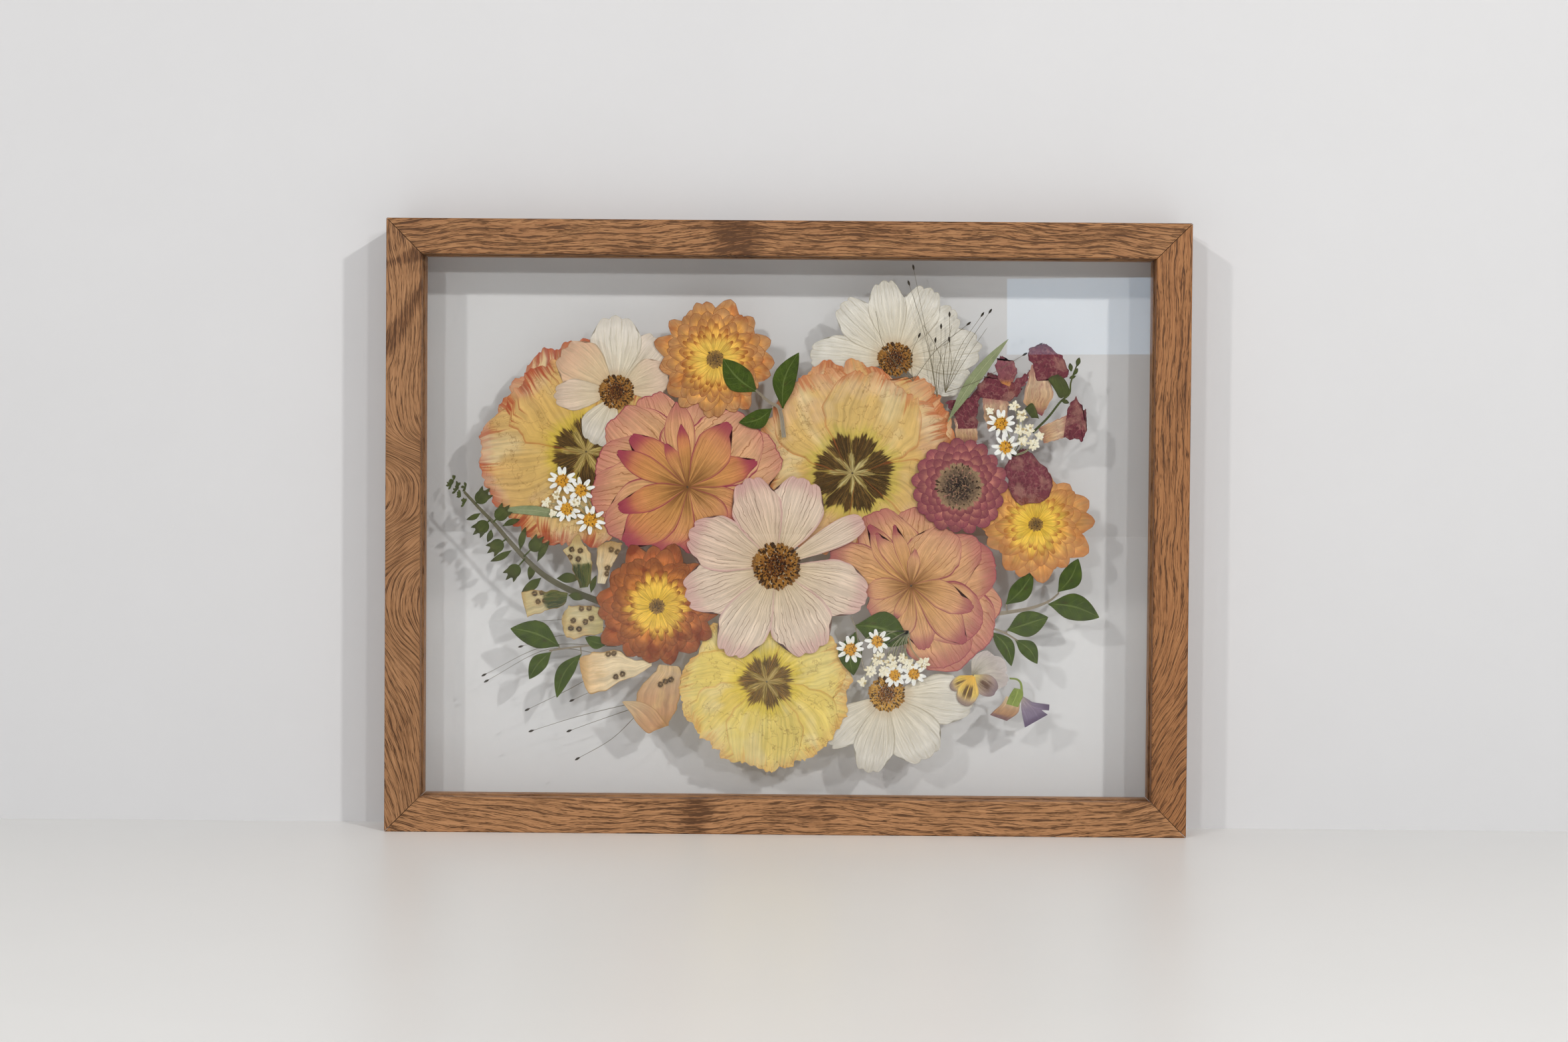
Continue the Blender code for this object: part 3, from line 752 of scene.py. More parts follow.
# Each flower: its middle, the size of its disc, its finish, and its petals from back to front, each
# with its direction, how far it reaches, its width and its tone.
COSMOS = {
    "cosmos_top": ((57.7, 256.7), 9.6, cosmos_pale, [
        (-18, 43, 22, 0.0), (9, 47, 26, 0.0), (38, 42, 21, 0.0), (177, 46, 23, 0.0),
        (64, 43, 23, 0.0), (134, 42, 22, 0.0), (99, 43, 21, 0.0)]),
    "cosmos_left": ((-92.8, 237.9), 9.6, cosmos_pale, [
        (51, 37, 24, 0.3), (91, 41, 28, 0.1), (143, 37, 27, 0.9), (22, 30, 22, 0.6),
        (-176, 34, 17, 0.5), (-115, 31, 21, 0.1)]),
    "cosmos_bottom": ((54.7, 75.5), 10.0, cosmos_pale, [
        (-5, 47, 28, 0.0), (-140, 42, 21, 0.0), (-56, 42, 30, 0.0), (-103, 44, 22, 0.0)]),
    "cosmos_centre": ((-5.7, 144.4), 13.2, cosmos_white, [
        (-20, 52, 31, 0.15), (-161, 52, 31, 0.3), (72, 50, 31, 0.25), (-66, 51, 34, 0.1),
        (-118, 55, 28, 0.0), (28, 53, 14, 0.2), (159, 51, 30, 0.7), (109, 50, 27, 0.8)]),
}
for node, (centre, hub, finish, petals) in COSMOS.items():
    sheets = Sheets(node, count=len(petals))
    for order, (degrees, reach, width, tone) in enumerate(petals):
        teeth = 0 if width < 16 else 3
        grid = petal(centre, degrees, reach, width, hub=hub * 0.35, foot=0.17, belly=0.82,
                     tip=0.80, rounding=0.06 if width < 16 else 0.15, teeth=teeth, tooth=0.05,
                     ragged=0.007, seed=order + 20 * len(node), rows=26, columns=26)
        sheets.add(*grid, tone=tone)
    piece_of(sheets.mesh(node + "_petals"), finish, "cosmos_petal", node)
    disc_of_florets(node + "_disc", golden_disc if node == "cosmos_bottom" else cosmos_disc,
                    (centre[0], sheets.depth - 0.05, centre[1]), hub * 0.93, 620)
print(len(COSMOS), "cosmos flowers")

# %% [markdown]
# ## Tulips
# Three parrot tulips were pressed wide open. Their petals overlap to one round, crinkled sheet,
# with fringed edges that carry orange and red flames. At the heart of each is a ring of
# dark brown wedges around a pale star. The ring is one pattern over all petals, so it is drawn
# by the distance and the angle from the flower's middle instead of the UV map.

# %% Dark wedges around a pale star
def heart(finish, colour, centre, near, far, wedges, dark, glow, star):
    """Adds a ring of feathered dark wedges around a pale star to a colour."""
    x, z, radius = finish.radius(finish.place(centre))
    swing = finish.noise(finish.join(x / radius * 2.2, z / radius * 2.2, radius * 0.03), 1.0, 2.0)
    angle = z.maths("ARCTAN2", x) + (swing - 0.5) * 0.7
    feather = finish.noise(finish.join(x / radius * 16.0, z / radius * 16.0, radius * 0.08), 1.0, 3.0)
    fold = (angle * (wedges / (2 * math.pi))).maths("FRACT") - 0.5
    petal_edge = fold.maths("ABSOLUTE") * 2.0
    outer = (swing - 0.5) * 9.0 + (feather - 0.5) * 13.0 - petal_edge * petal_edge * 2.5 + far
    glow_share = radius.rises(outer + 8.0, outer) * radius.rises(near * 0.4, near)
    colour = finish.mix(glow_share * 0.75, colour, paint(glow))
    arm = (radius - near * 0.6) / (near + 7.0) + (feather - 0.5) * 1.1
    pale = (petal_edge - arm).rises(0.0, 0.14)
    seam = petal_edge.rises(0.9, 1.0) * -0.5 + 1.0
    ring = radius.rises(outer + 0.8, outer - 1.6) * pale.flipped() * seam
    streaks = feather.rises(0.35, 0.7)
    brown = finish.mix(streaks, paint(dark[0]), paint(dark[1]))
    colour = finish.mix(ring * 0.95, colour, brown)
    cream = finish.mix(feather.rises(0.4, 0.62), paint("6e5a2c"), paint(star))
    return finish.mix(pale * radius.rises(near + 11.0, near + 7.0) * 0.9, colour, cream)


def tulip_look(name, centre, run, other, flame, heart_look, clear, sun, flame_share=0.9, flame_from=0.80):
    def extra(finish, colour, across, along, seed, tone, place):
        sunny = finish.noise(place, 0.045, 3.0) - along * 0.22
        colour = finish.mix(sunny.rises(0.24, 0.40) * sun[1], colour, paint(sun[0]))
        faded = finish.noise(finish.join(across * 2.0, along * 1.4, seed * 3.7), 1.0, 2.0).rises(0.52, 0.66)
        colour = finish.mix(faded * 0.45, colour, paint("e6d6ac"))
        lick = finish.noise(finish.join(across * 30.0, along * 1.3, seed * 3.0), 1.0, 2.0, 0.6)
        patch = finish.noise(finish.join(across * 3.0, along, seed * 7.0), 1.0, 1.0).rises(0.36, 0.56)
        reach = along + (lick - 0.5) * 0.9
        colour = finish.mix(reach.rises(flame_from, 1.0) * patch * flame_share, colour, paint(flame))
        crease = (finish.noise(place, 0.07, 4.0, 0.6) - 0.5).maths("ABSOLUTE").rises(0.012, 0.0)
        colour = finish.mix(crease * 0.50, colour, paint("8d6431"))
        return heart(finish, colour, centre, **heart_look)
    return petal_finish(name, run, other, vein="a07c40", veins=0.35, lines=26, rim=flame, rim_share=0.25,
                        rim_from=0.95, clear=clear, relief=0.10, grain=0.09, mottle=0.2,
                        outline_and_shade=0.35, extra=extra)


BROWN = ("2c180a", "4c2e14")
# The petals of a tulip: direction, reach and width. near and far bound the ring at its heart.
TULIPS = {
    "tulip_middle": dict(
        centre=(35.1, 195.0), petals=[
            (95, 61, 62), (42, 63, 60), (142, 54, 60), (17, 57, 56), (-40, 46, 62), (-95, 40, 60),
            (-150, 46, 62), (119, 58, 54), (70, 55, 58)],
        run=[(0.0, "cdb060"), (0.35, "d0ac70"), (0.7, "d4ab80"), (1.0, "d09e72")],
        other=[(0.0, "d4b65e"), (0.4, "dcbe84"), (1.0, "d8b488")], flame="b4592c", clear=0.24,
        sun=("d2ae5c", 0.6), flame_share=0.75, flame_from=0.86,
        heart_look=dict(near=4.0, far=21.5, wedges=8, dark=BROWN, glow="c2b04e", star="ccc08a")),
    "tulip_left": dict(
        centre=(-109.0, 205.5), petals=[
            (28, 34, 44), (-20, 36, 48), (-60, 44, 50), (100, 60, 56), (60, 50, 50), (-131, 55, 52),
            (-100, 50, 50), (150, 53, 58), (-174, 57, 58), (124, 52, 50)],
        run=[(0.0, "d0b04e"), (0.35, "cfac60"), (0.7, "d0a974"), (1.0, "d4ad86")],
        other=[(0.0, "d2b454"), (0.4, "d0b074"), (1.0, "cfa684")], flame="a03a22", clear=0.2,
        sun=("cfa956", 0.55),
        heart_look=dict(near=4.5, far=18.5, wedges=6, dark=BROWN, glow="c8b03c", star="b8a468")),
    "tulip_bottom": dict(
        centre=(-10.4, 81.6), petals=[
            (125, 42, 50), (55, 42, 50), (90, 36, 50), (-13, 45, 50), (-167, 47, 48), (20, 42, 46),
            (-131, 46, 46), (-56, 47, 50), (-92, 48, 44)],
        run=[(0.0, "e8c04a"), (0.35, "ecc65c"), (0.75, "eece74"), (1.0, "ecce84")],
        other=[(0.0, "e8c04a"), (0.4, "f2d27e"), (1.0, "eed088")], flame="c98c48", clear=0.26,
        sun=("e8ca68", 0.6), flame_share=0.5, flame_from=0.9,
        heart_look=dict(near=3.0, far=14.5, wedges=7, dark=("4f351c", "7a5a2c"), glow="d4bc3e",
                        star="b8a06c")),
}
for node, look in TULIPS.items():
    petals = look.pop("petals")
    finish = tulip_look(node + "_petal", **look)
    sheets = Sheets(node, step=0.035, count=len(petals))
    for order, (degrees, reach, width) in enumerate(petals):
        grid = petal(look["centre"], degrees, reach, width, hub=0.5, foot=0.16, belly=0.72, tip=0.86,
                     rounding=0.17, ragged=0.026, fringe=0.012, seed=order + 7 * len(node), rows=30,
                     columns=46)
        sheets.add(*grid, tone=order % 3 / 2)
    piece_of(sheets.mesh(node + "_petals"), finish, "tulip_petal", node)
print(len(TULIPS), "tulips")

# %% [markdown]
# ## Roses
# Two open roses show layer over layer. Broad pale petals lie at the back, and narrower ones with
# wine-red rims and brown veins in front. No two are alike, so each is listed one by one: where it
# points, how far it reaches, how wide it is, how pointed, how it bends, and its tone.

# %% Rose petals
def rose_heart(centre, reach, brown):
    """Darkens and streaks the petals' feet around the middle of the flower."""
    def extra(finish, colour, across, along, seed, tone, place):
        x, z, radius = finish.radius(finish.place(centre))
        rays = finish.noise(finish.join(x / radius * 5.0, z / radius * 5.0, 1.0), 1.0, 3.0, 0.6)
        near = radius.rises(reach, reach * 0.15) * rays.rises(0.38, 0.56)
        core = radius.rises(5.5, 1.0)
        return finish.mix(near.maths("MAXIMUM", core) * 0.8, colour, paint(brown))
    return extra


ROSE_INNER = [(0.0, "a4743c"), (0.3, "c08a4c"), (0.62, "c2844e"), (0.85, "b8684e"), (1.0, "a44a52")]
ROSE_OUTER = [(0.0, "c08c54"), (0.5, "c99c6e"), (0.85, "cc9c78"), (1.0, "c68c74")]
ROSES = {
    "rose_left": ((-54.1, 186.8), "8c3046", 24.0, ROSE_OUTER, ROSE_INNER, [
        (24, 53, 44, .7, .2, 0, .0), (113, 54, 34, .7, .2, 0, .1), (136, 55, 40, .8, .2, 0, .05),
        (163, 51, 40, .8, .2, 0, .15), (-174, 52, 36, .8, .2, 0, .2), (-152, 49, 34, .7, .2, 0, .2),
        (78, 46, 40, .7, .2, 0, .05), (46, 50, 42, .8, .2, 0, .0), (100, 46, 17, .15, .0, -2, .35),
        (-87, 36, 24, .5, .1, 2, .75), (-32, 33, 22, .3, .0, 3, .7), (-56, 32, 24, .5, .1, 0, .7),
        (-110, 38, 24, .5, .1, -2, .8), (-133, 46, 25, .45, .12, -3, .95), (25, 40, 16, .35, .1, -3, 1.),
        (143, 41, 19, .5, .15, -3, .95), (51, 41, 21, .4, .12, 4, .85), (158, 42, 13, .3, .05, -3, 1.),
        (-167, 39, 14, .7, .2, 3, 1.), (112, 26, 8, .3, .05, 2, .9), (93, 34, 7, .05, .0, 2, 1.)]),
    "rose_right": ((67.4, 134.3), "8c3e4c", 18.0, ROSE_OUTER,
                   [(0.0, "a87a40"), (0.3, "c4955c"), (0.7, "c8966a"), (0.9, "c48a6e"), (1.0, "b46c62")], [
        (-20, 50, 36, .85, .22, 0, .0), (-46, 52, 52, .95, .25, 0, .35), (9, 47, 38, .85, .2, 4, .6),
        (26, 43, 30, .7, .2, 4, .45), (84, 42, 34, .8, .2, 0, .2), (114, 45, 32, .8, .2, 3, .4),
        (60, 37, 30, .8, .25, -3, .1), (-60, 48, 40, .9, .25, 0, .45), (-42, 43, 36, .9, .3, 4, .55),
        (166, 47, 27, .6, .1, -4, .6), (-83, 35, 19, .6, .15, 3, .7), (-108, 33, 18, .5, .1, 0, .6),
        (-148, 27, 18, .5, .1, 0, .4), (-177, 27, 12, .4, .1, 2, .6), (133, 40, 13, .35, .1, -5, 1.),
        (117, 34, 10, .3, .1, 4, .8), (101, 34, 8, .3, .1, 3, 1.), (-115, 21, 6, .2, .05, 0, 1.),
        (-36, 42, 19, .35, .1, -7, .9), (-9, 35, 16, .6, .2, -6, .75), (84, 20, 7, .3, .1, 0, .5)]),
}
for node, (centre, rim, core, outer, inner, petals) in ROSES.items():
    finish = petal_finish(node + "_petal", outer, inner, vein="84502e", veins=0.75, lines=30, combs=11,
                          rim=rim, rim_share=0.85, rim_from=0.84, rim_grows=0.16, clear=0.10,
                          blotch=("cf9878", 0.35), relief=0.08, grain=0.10, mottle=0.3, outline_and_shade=0.95,
                          extra=rose_heart(centre, core, "5e3a18"))
    sheets = Sheets(node, step=0.018, count=len(petals))
    for order, (degrees, reach, width, tip, rounding, bend, tone) in enumerate(petals):
        grid = petal(centre, degrees, reach, width, hub=0.6, foot=0.14, belly=0.66, tip=tip,
                     rounding=rounding, ragged=0.010, bend=bend, seed=order + 50 + len(node), rows=24,
                     columns=22)
        sheets.add(*grid, tone=tone, thick=0.014)
    piece_of(sheets.mesh(node + "_petals"), finish, "rose_petal", node)
print(len(ROSES), "roses")

# %% [markdown]
# ## Rings of petals
# Chrysanthemums, the zinnia and the small daisies repeat one petal in rings. Geometry Nodes place
# the copies: the first ring is the outermost and lies at the back, each next one is turned by
# half a petal, is shorter and lies in front. A slight roll keeps neighbours from crossing.

# %% Geometry Nodes for rings of petals
NUDGE = 0.001


def ring_tree():
    grower = Grower("petal_rings", {
        "Petal": "Object", "Material": "Material", "Rings": "Int", "Petals": "Int", "Long": "Float",
        "Short": "Float", "Broad": "Float", "Slim": "Float", "Step": "Float", "Roll": "Float",
        "Jitter": "Float", "Turn": "Float", "Seed": "Int", "Outer": "Float", "Inner": "Float"})
    given, index = grower.given, grower.index
    ring = (index / given["Petals"] + NUDGE).maths("FLOOR")
    share = ring / (given["Rings"] - (1 - NUDGE))
    jitter = grower.chance(-1.0, 1.0, 1) * given["Jitter"]
    turns = (index + ring * 0.5 + jitter * 1.6) / given["Petals"]
    angle = turns * (2 * math.pi) + given["Turn"]
    wobble = grower.chance(-1.0, 1.0, 2) * given["Jitter"] * 0.5 + 1.0
    reach = (given["Long"] + (given["Short"] - given["Long"]) * share) * wobble
    width = (given["Broad"] + (given["Slim"] - given["Broad"]) * share) * (grower.chance(-0.3, 0.3, 3)
                                                                          * given["Jitter"] * 3.0 + 1.0)
    petal_shape = grower.node("ObjectInfo", "Geometry", Object=given["Petal"])
    rotation = grower.join(given["Roll"], angle * -1.0, 0.0)
    grower.grow(given["Petals"] * given["Rings"], grower.join(0.0, ring * given["Step"] * -1.0, 0.0),
                petal_shape, rotation, grower.join(reach, 1.0, width),
                {"tone": given["Outer"] + (given["Inner"] - given["Outer"]) * share,
                  "seed": grower.chance(0.0, 10.0, 4)})
    return grower


def template(name, **shape):
    """A petal one unit long and wide, for the rings to copy. It is removed at the end."""
    sheets = Sheets(depth=0.0)
    sheets.add(*petal((0, 0), 0, 1 / MM, 1 / MM, **shape), thick=0.03)
    made = sheets.mesh(name)
    for key in ("tone", "seed"):
        made.attributes.remove(made.attributes[key])
    return linked(name, made)


petal_rings = ring_tree()
spoon = template("spoon_petal", hub=20, foot=0.35, belly=0.74, tip=0.95, rounding=0.20, ragged=0.022,
                 seed=5, rows=10, columns=8)
shell_petal = template("shell_petal", hub=20, foot=0.40, belly=0.85, tip=0.97, rounding=0.17,
                       ragged=0.006, seed=6, rows=10, columns=8)
daisy_petal = template("daisy_petal", hub=400, foot=0.6, belly=0.5, tip=0.85, rounding=0.22,
                       ragged=0.004, seed=7, rows=6, columns=8)
ray_petal = template("ray_petal", hub=20, foot=0.30, belly=0.80, tip=0.70, rounding=0.16, ragged=0.008,
                     seed=8, rows=8, columns=6)
print("ring tree has", len(petal_rings.tree.nodes), "nodes")

# %% [markdown]
# ## Chrysanthemums and the zinnia
# The three chrysanthemums run from a yellow heart to amber, orange and rust tips, with a thin
# brown line along each petal, partly its own edge and partly painted shade where petals overlap.
# The zinnia is mauve, its petals are scales, and its middle is a dark fuzz in a tan ring.

# %% Double flowers
AMBER = [(0.0, "8a5a24"), (0.35, "d09c48"), (0.62, "ca843c"), (0.80, "d4964e"), (1.0, "e0b882")]
AMBER_INNER = [(0.0, "7a5a2c"), (0.25, "d6ac44"), (0.6, "e2bc54"), (0.86, "d8a048"), (1.0, "c07634")]
RUST = [(0.0, "8a4a20"), (0.45, "b06a30"), (0.7, "aa5c2c"), (0.88, "b0643a"), (1.0, "b87848")]
RUST_INNER = [(0.0, "6a4c28"), (0.25, "d0a838"), (0.7, "e0b84a"), (0.92, "d8a040"), (1.0, "b87030")]
PEACH = [(0.0, "9a641c"), (0.4, "d0983c"), (0.65, "cc8c44"), (0.85, "d09c60"), (1.0, "d6ab78")]
PEACH_INNER = [(0.0, "8e6c34"), (0.25, "d4ac38"), (0.7, "e0bc4c"), (0.9, "d8a448"), (1.0, "c48038")]
MAUVE = [(0.0, "8c4e46"), (0.55, "9c6050"), (0.8, "ae7262"), (1.0, "a2545e")]
MAUVE_INNER = [(0.0, "8e6e50"), (0.55, "98705c"), (0.8, "a0665c"), (1.0, "944c50")]
BROWN_HEART = [(0.0, "54422c"), (0.6, "6a5030"), (1.0, "94723a")]
FUZZ_HEART = [(0.0, "181415"), (0.5, "3a302a"), (0.8, "6c5846"), (1.0, "8e765a")]
# Each layer of rings: rings, petals, long, short, broad, slim, and the tones of its outer and inner
# ring. The rays are the innermost layer, of narrow petals.
DOUBLE_FLOWERS = {
    "chrysanthemum_top": dict(
        centre=(-39.5, 255.9), slot="chrysanthemum_petal", petal=spoon, run=AMBER, other=AMBER_INNER,
        rim="7c3c14", jitter=0.20, heart=(4.6, BROWN_HEART), blotch=("b8622c", 0.6), clear=0.14,
        layers=[(3, 15, 32.0, 26.0, 13.5, 11.0, 0.0, 0.2), (2, 16, 23.5, 20.0, 9.0, 7.0, 0.4, 0.6)],
        rays=(2, 21, 19.0, 15.0, 4.2, 3.4, 0.9, 1.0)),
    "chrysanthemum_rust": dict(
        centre=(-70.1, 122.2), slot="chrysanthemum_petal", petal=spoon, run=RUST, other=RUST_INNER,
        rim="54200e", jitter=0.20, heart=(4.0, BROWN_HEART), blotch=("7e3218", 0.8), clear=0.0,
        layers=[(4, 15, 33.0, 23.0, 15.5, 11.5, 0.0, 0.15)],
        rays=(2, 19, 19.0, 16.0, 4.8, 4.0, 0.9, 1.0)),
    "chrysanthemum_right": dict(
        centre=(134.5, 168.1), slot="chrysanthemum_petal", petal=spoon, run=PEACH, other=PEACH_INNER,
        rim="9c5a2a", jitter=0.18, heart=(3.6, BROWN_HEART), blotch=("c47a3c", 0.5), clear=0.14,
        layers=[(3, 14, 30.0, 22.5, 14.0, 10.5, 0.0, 0.3)],
        rays=(2, 19, 18.5, 14.5, 4.6, 3.6, 0.9, 1.0)),
    "zinnia_mauve": dict(
        centre=(92.8, 188.1), slot="zinnia_petal", petal=shell_petal, run=MAUVE, other=MAUVE_INNER,
        rim="5c2a38", jitter=0.08, heart=(12.0, FUZZ_HEART), blotch=("a0665e", 0.5), clear=0.0,
        layers=[(4, 19, 25.6, 15.5, 9.2, 6.0, 0.0, 1.0)], rays=None),
}
RING_STEP = 0.048
for node, look in DOUBLE_FLOWERS.items():
    x, z = look["centre"]
    finish = petal_finish(node + "_petal", look["run"], look["other"], vein=look["rim"], veins=0.40,
                          lines=9, rim=look["rim"], rim_share=0.6, rim_from=0.88, clear=look["clear"],
                          blotch=look["blotch"], relief=0.05, grain=0.24, mottle=0.45,
                          vary=0.30, combs=4, outline_and_shade=0.9)
    layers = [(look["petal"], *layer) for layer in look["layers"]]
    if look["rays"]:
        layers.append((ray_petal, *look["rays"]))
    level = Sheets(node, step=RING_STEP, count=sum(layer[1] for layer in layers)).depth
    for order, (shape, rings, petals, long, short, broad, slim, outer, inner) in enumerate(layers):
        made = petal_rings.run(f"{node}_petals_{order + 1}", Petal=shape, Material=finish, Rings=rings,
                               Petals=petals, Long=long * MM, Short=short * MM, Broad=broad * MM,
                               Slim=slim * MM, Step=RING_STEP * MM, Roll=math.radians(0.25),
                               Jitter=look["jitter"], Turn=order * 0.3, Seed=len(node), Outer=outer,
                               Inner=inner)
        piece_of(moved(made, x, level, z), finish, look["slot"], *([node] if order == 0 else []))
        level -= rings * RING_STEP
    size, run = look["heart"]
    heart_finish = disc_finish(node + "_heart", run, "2c2018", 0.15, tip=run[-1][1])
    disc_of_florets(node + "_heart", heart_finish, (x, level - 0.03, z), size, int(50 * size),
                    look["slot"], 0.06, 5)
print(len(DOUBLE_FLOWERS), "double flowers")

# %% [markdown]
# ## Feverfew
# Three sprays of tiny daisies: nine or ten separate white petals around a golden disc, each
# on a hair-thin stem, with clusters of cream buds. The petals repeat in one ring with the
# same tree as above, and the disc is the same spiral of florets, only smaller.

# %% Daisies, buds and stems
daisy_white = petal_finish("daisy_white", [(0.0, "d8ccac"), (0.3, "ece6da"), (1.0, "f0ece2")],
                           vein="b0a48c", veins=0.3, lines=8, clear=0.06, relief=0.06)
daisy_gold = disc_finish("daisy_gold", [(0.0, "a8742a"), (0.5, "c8902c"), (1.0, "b27a24")], "6c4618", 0.2,
                         tip="dcb04c")
bud_cream = disc_finish("bud_cream", [(0.0, "e2dcc4"), (1.0, "d6ccae")], "a89468", 0.12, tip="efe9da")
stem_finish = petal_finish("thin_stem", [(0.0, "77785a"), (1.0, "8a886c")], vein="56543c", veins=0.5,
                           lines=3, relief=0.05)
# Each spray: where its stems start, then its heads and its buds, each with its place and size.
FEVERFEW = {
    "feverfew_left": ((-104, 166), [(-121.8, 189.7, 7.6), (-111.5, 184.5, 7.4), (-119.1, 174.4, 7.2),
                                    (-106.4, 168.6, 8.0)],
                      [(-130, 177.8, 2.6), (-125, 182, 2.4), (-114, 178, 2.2), (-127, 172, 1.8)]),
    "feverfew_right": ((121.5, 205), [(115, 222.3, 7.6), (117.6, 209.6, 7.4)],
                       [(122.1, 231.9, 2.8), (126.5, 226.8, 3.2), (130.1, 219, 3.4), (132.8, 211.2, 3.6),
                        (125, 219, 3.0), (127, 213, 2.6), (109, 229, 2.0), (136, 216, 2.2)]),
    "feverfew_bottom": ((66, 110), [(34.7, 99.6, 7.4), (49.3, 104.1, 6.8), (59, 85.8, 6.6),
                                    (69.3, 86.6, 6.4)],
                        [(41.4, 82, 2.4), (50.1, 94.6, 4.2), (57, 93, 4.0), (46, 88, 3.6), (63, 95, 3.0),
                         (74.3, 92.5, 3.6), (66, 91.5, 3.4), (53, 88, 3.2)]),
}
for node, (root, heads, buds) in FEVERFEW.items():
    stems = Sheets(node, step=0.0)
    level = stems.depth - 0.05
    for x, z, size in heads + buds:
        mid = ((x + root[0]) / 2 + (z - root[1]) * 0.12, (z + root[1]) / 2 - (x - root[0]) * 0.12)
        stems.add(*ribbon([root, mid, (x, z)], (0.55, 0.35), 16), thick=0.05)
    piece_of(stems.mesh(node + "_stems"), stem_finish, "leaf_green", node)
    for order, (x, z, size) in enumerate(heads):
        name = f"{node}_head_{order + 1}"
        rays = petal_rings.run(name, Petal=daisy_petal, Material=daisy_white, Rings=1,
                               Petals=10 - order % 2, Long=size * MM, Short=size * MM, Broad=2.4 * MM,
                               Slim=2.4 * MM, Step=0.0, Roll=math.radians(0.6), Jitter=0.13,
                               Turn=order * 0.9, Seed=order + 3)
        piece_of(moved(rays, x, level - order * 0.02, z), daisy_white, "feverfew_petal")
        disc_of_florets(name + "_disc", daisy_gold, (x, level - 0.10, z), size * 0.40, 60,
                        "feverfew_petal", 0.07, order)
    for order, (x, z, size) in enumerate(buds):
        ball = florets.run(f"{node}_bud_{order + 1}", Material=bud_cream, Count=int(size * 5),
                           Radius=size * 0.8 * MM, Floret=0.75 * MM, Depth=0.08 * MM, Seed=order + 40)
        piece_of(moved(ball, x, level - 0.04, z), bud_cream, "feverfew_petal")
print(len(FEVERFEW), "sprays of feverfew")

# %% [markdown]
# ## Leaves
# The green leaves are pointed ovals with a pale midrib, side veins that sweep towards the tip and
# a fine saw edge. The leaf is a petal with a narrow tip, and its veins are drawn from the UV map:
# the midrib down the middle, and side veins as slanted stripes that start at it.

# %% Leaf finish
def leaf_finish(name, run, vein, spots="3b2c14", pairs=7.0, spot_share=0.6):
    finish = Finish(name)
    across, along = finish.uv()
    seed, place = finish.note("seed"), finish.place()
    side = (across * 2.0 - 1.0).maths("ABSOLUTE")
    soft = finish.noise(place, 0.25, 3.0)
    speckle = finish.noise(place, 1.6, 3.0, 0.7)
    colour = finish.ramp((soft - 0.5) * 1.3 + 0.5 + (speckle - 0.5) * 0.5, run)
    slant = (along * pairs - side * 1.5 + (soft - 0.5) * 0.6).maths("FRACT") - 0.5
    ribs = slant.maths("ABSOLUTE").rises(0.07, 0.0) * side.rises(1.0, 0.5)
    net = finish.cells(place, 0.75, "DISTANCE_TO_EDGE").rises(0.07, 0.0)
    midrib = side.rises(0.10, 0.03)
    colour = finish.mix(net * 0.16, colour, paint(vein))
    colour = finish.mix(ribs * 0.32, colour, paint(vein))
    colour = finish.mix(midrib * 0.6, colour, paint(vein))
    spotted = finish.noise(finish.join(across * 4.0, along * 4.0, seed * 6.0), 1.0, 3.0).rises(0.66, 0.72)
    colour = finish.mix(spotted * spot_share, colour, paint(spots))
    colour = finish.mix(side.rises(0.88, 1.0) * 0.35, colour, paint(spots))
    height = midrib * 1.0 + ribs * 0.5 + net * 0.25 + speckle * 0.3
    return finish.done(colour, 0.75, height, 0.12, gloss=0.12)


SAW_TEETH = 26
LEAF_ROWS = 44


def leaf(base, point, width, bend=0.0, saw=0.02, seed=0):
    """The grid of a pointed leaf from its base to its tip, with a saw edge."""
    reach = math.dist(base, point)
    x, z = petal((0, 0), 0, reach, width, foot=0.06, belly=0.46, tip=0.02, rounding=0.0, ragged=0.0,
                 seed=seed, rows=LEAF_ROWS, columns=10)
    v = np.linspace(0, 1, LEAF_ROWS + 1)[:, None]
    z = z * (1 + saw * (np.mod(v * SAW_TEETH, 1) - 0.5)) + bend * np.sin(np.pi * v)
    return placed(base, bearing(base, point), x, z)


# %% Leaves on their stems
green = leaf_finish("leaf_green", [(0.0, "242e0a"), (0.5, "34440c"), (1.0, "4a5a18")], "627038")
twig = petal_finish("twig", [(0.0, "7c7160"), (1.0, "8a8070")], vein="4c4438", veins=0.6, lines=4,
                    relief=0.08, grain=0.15)
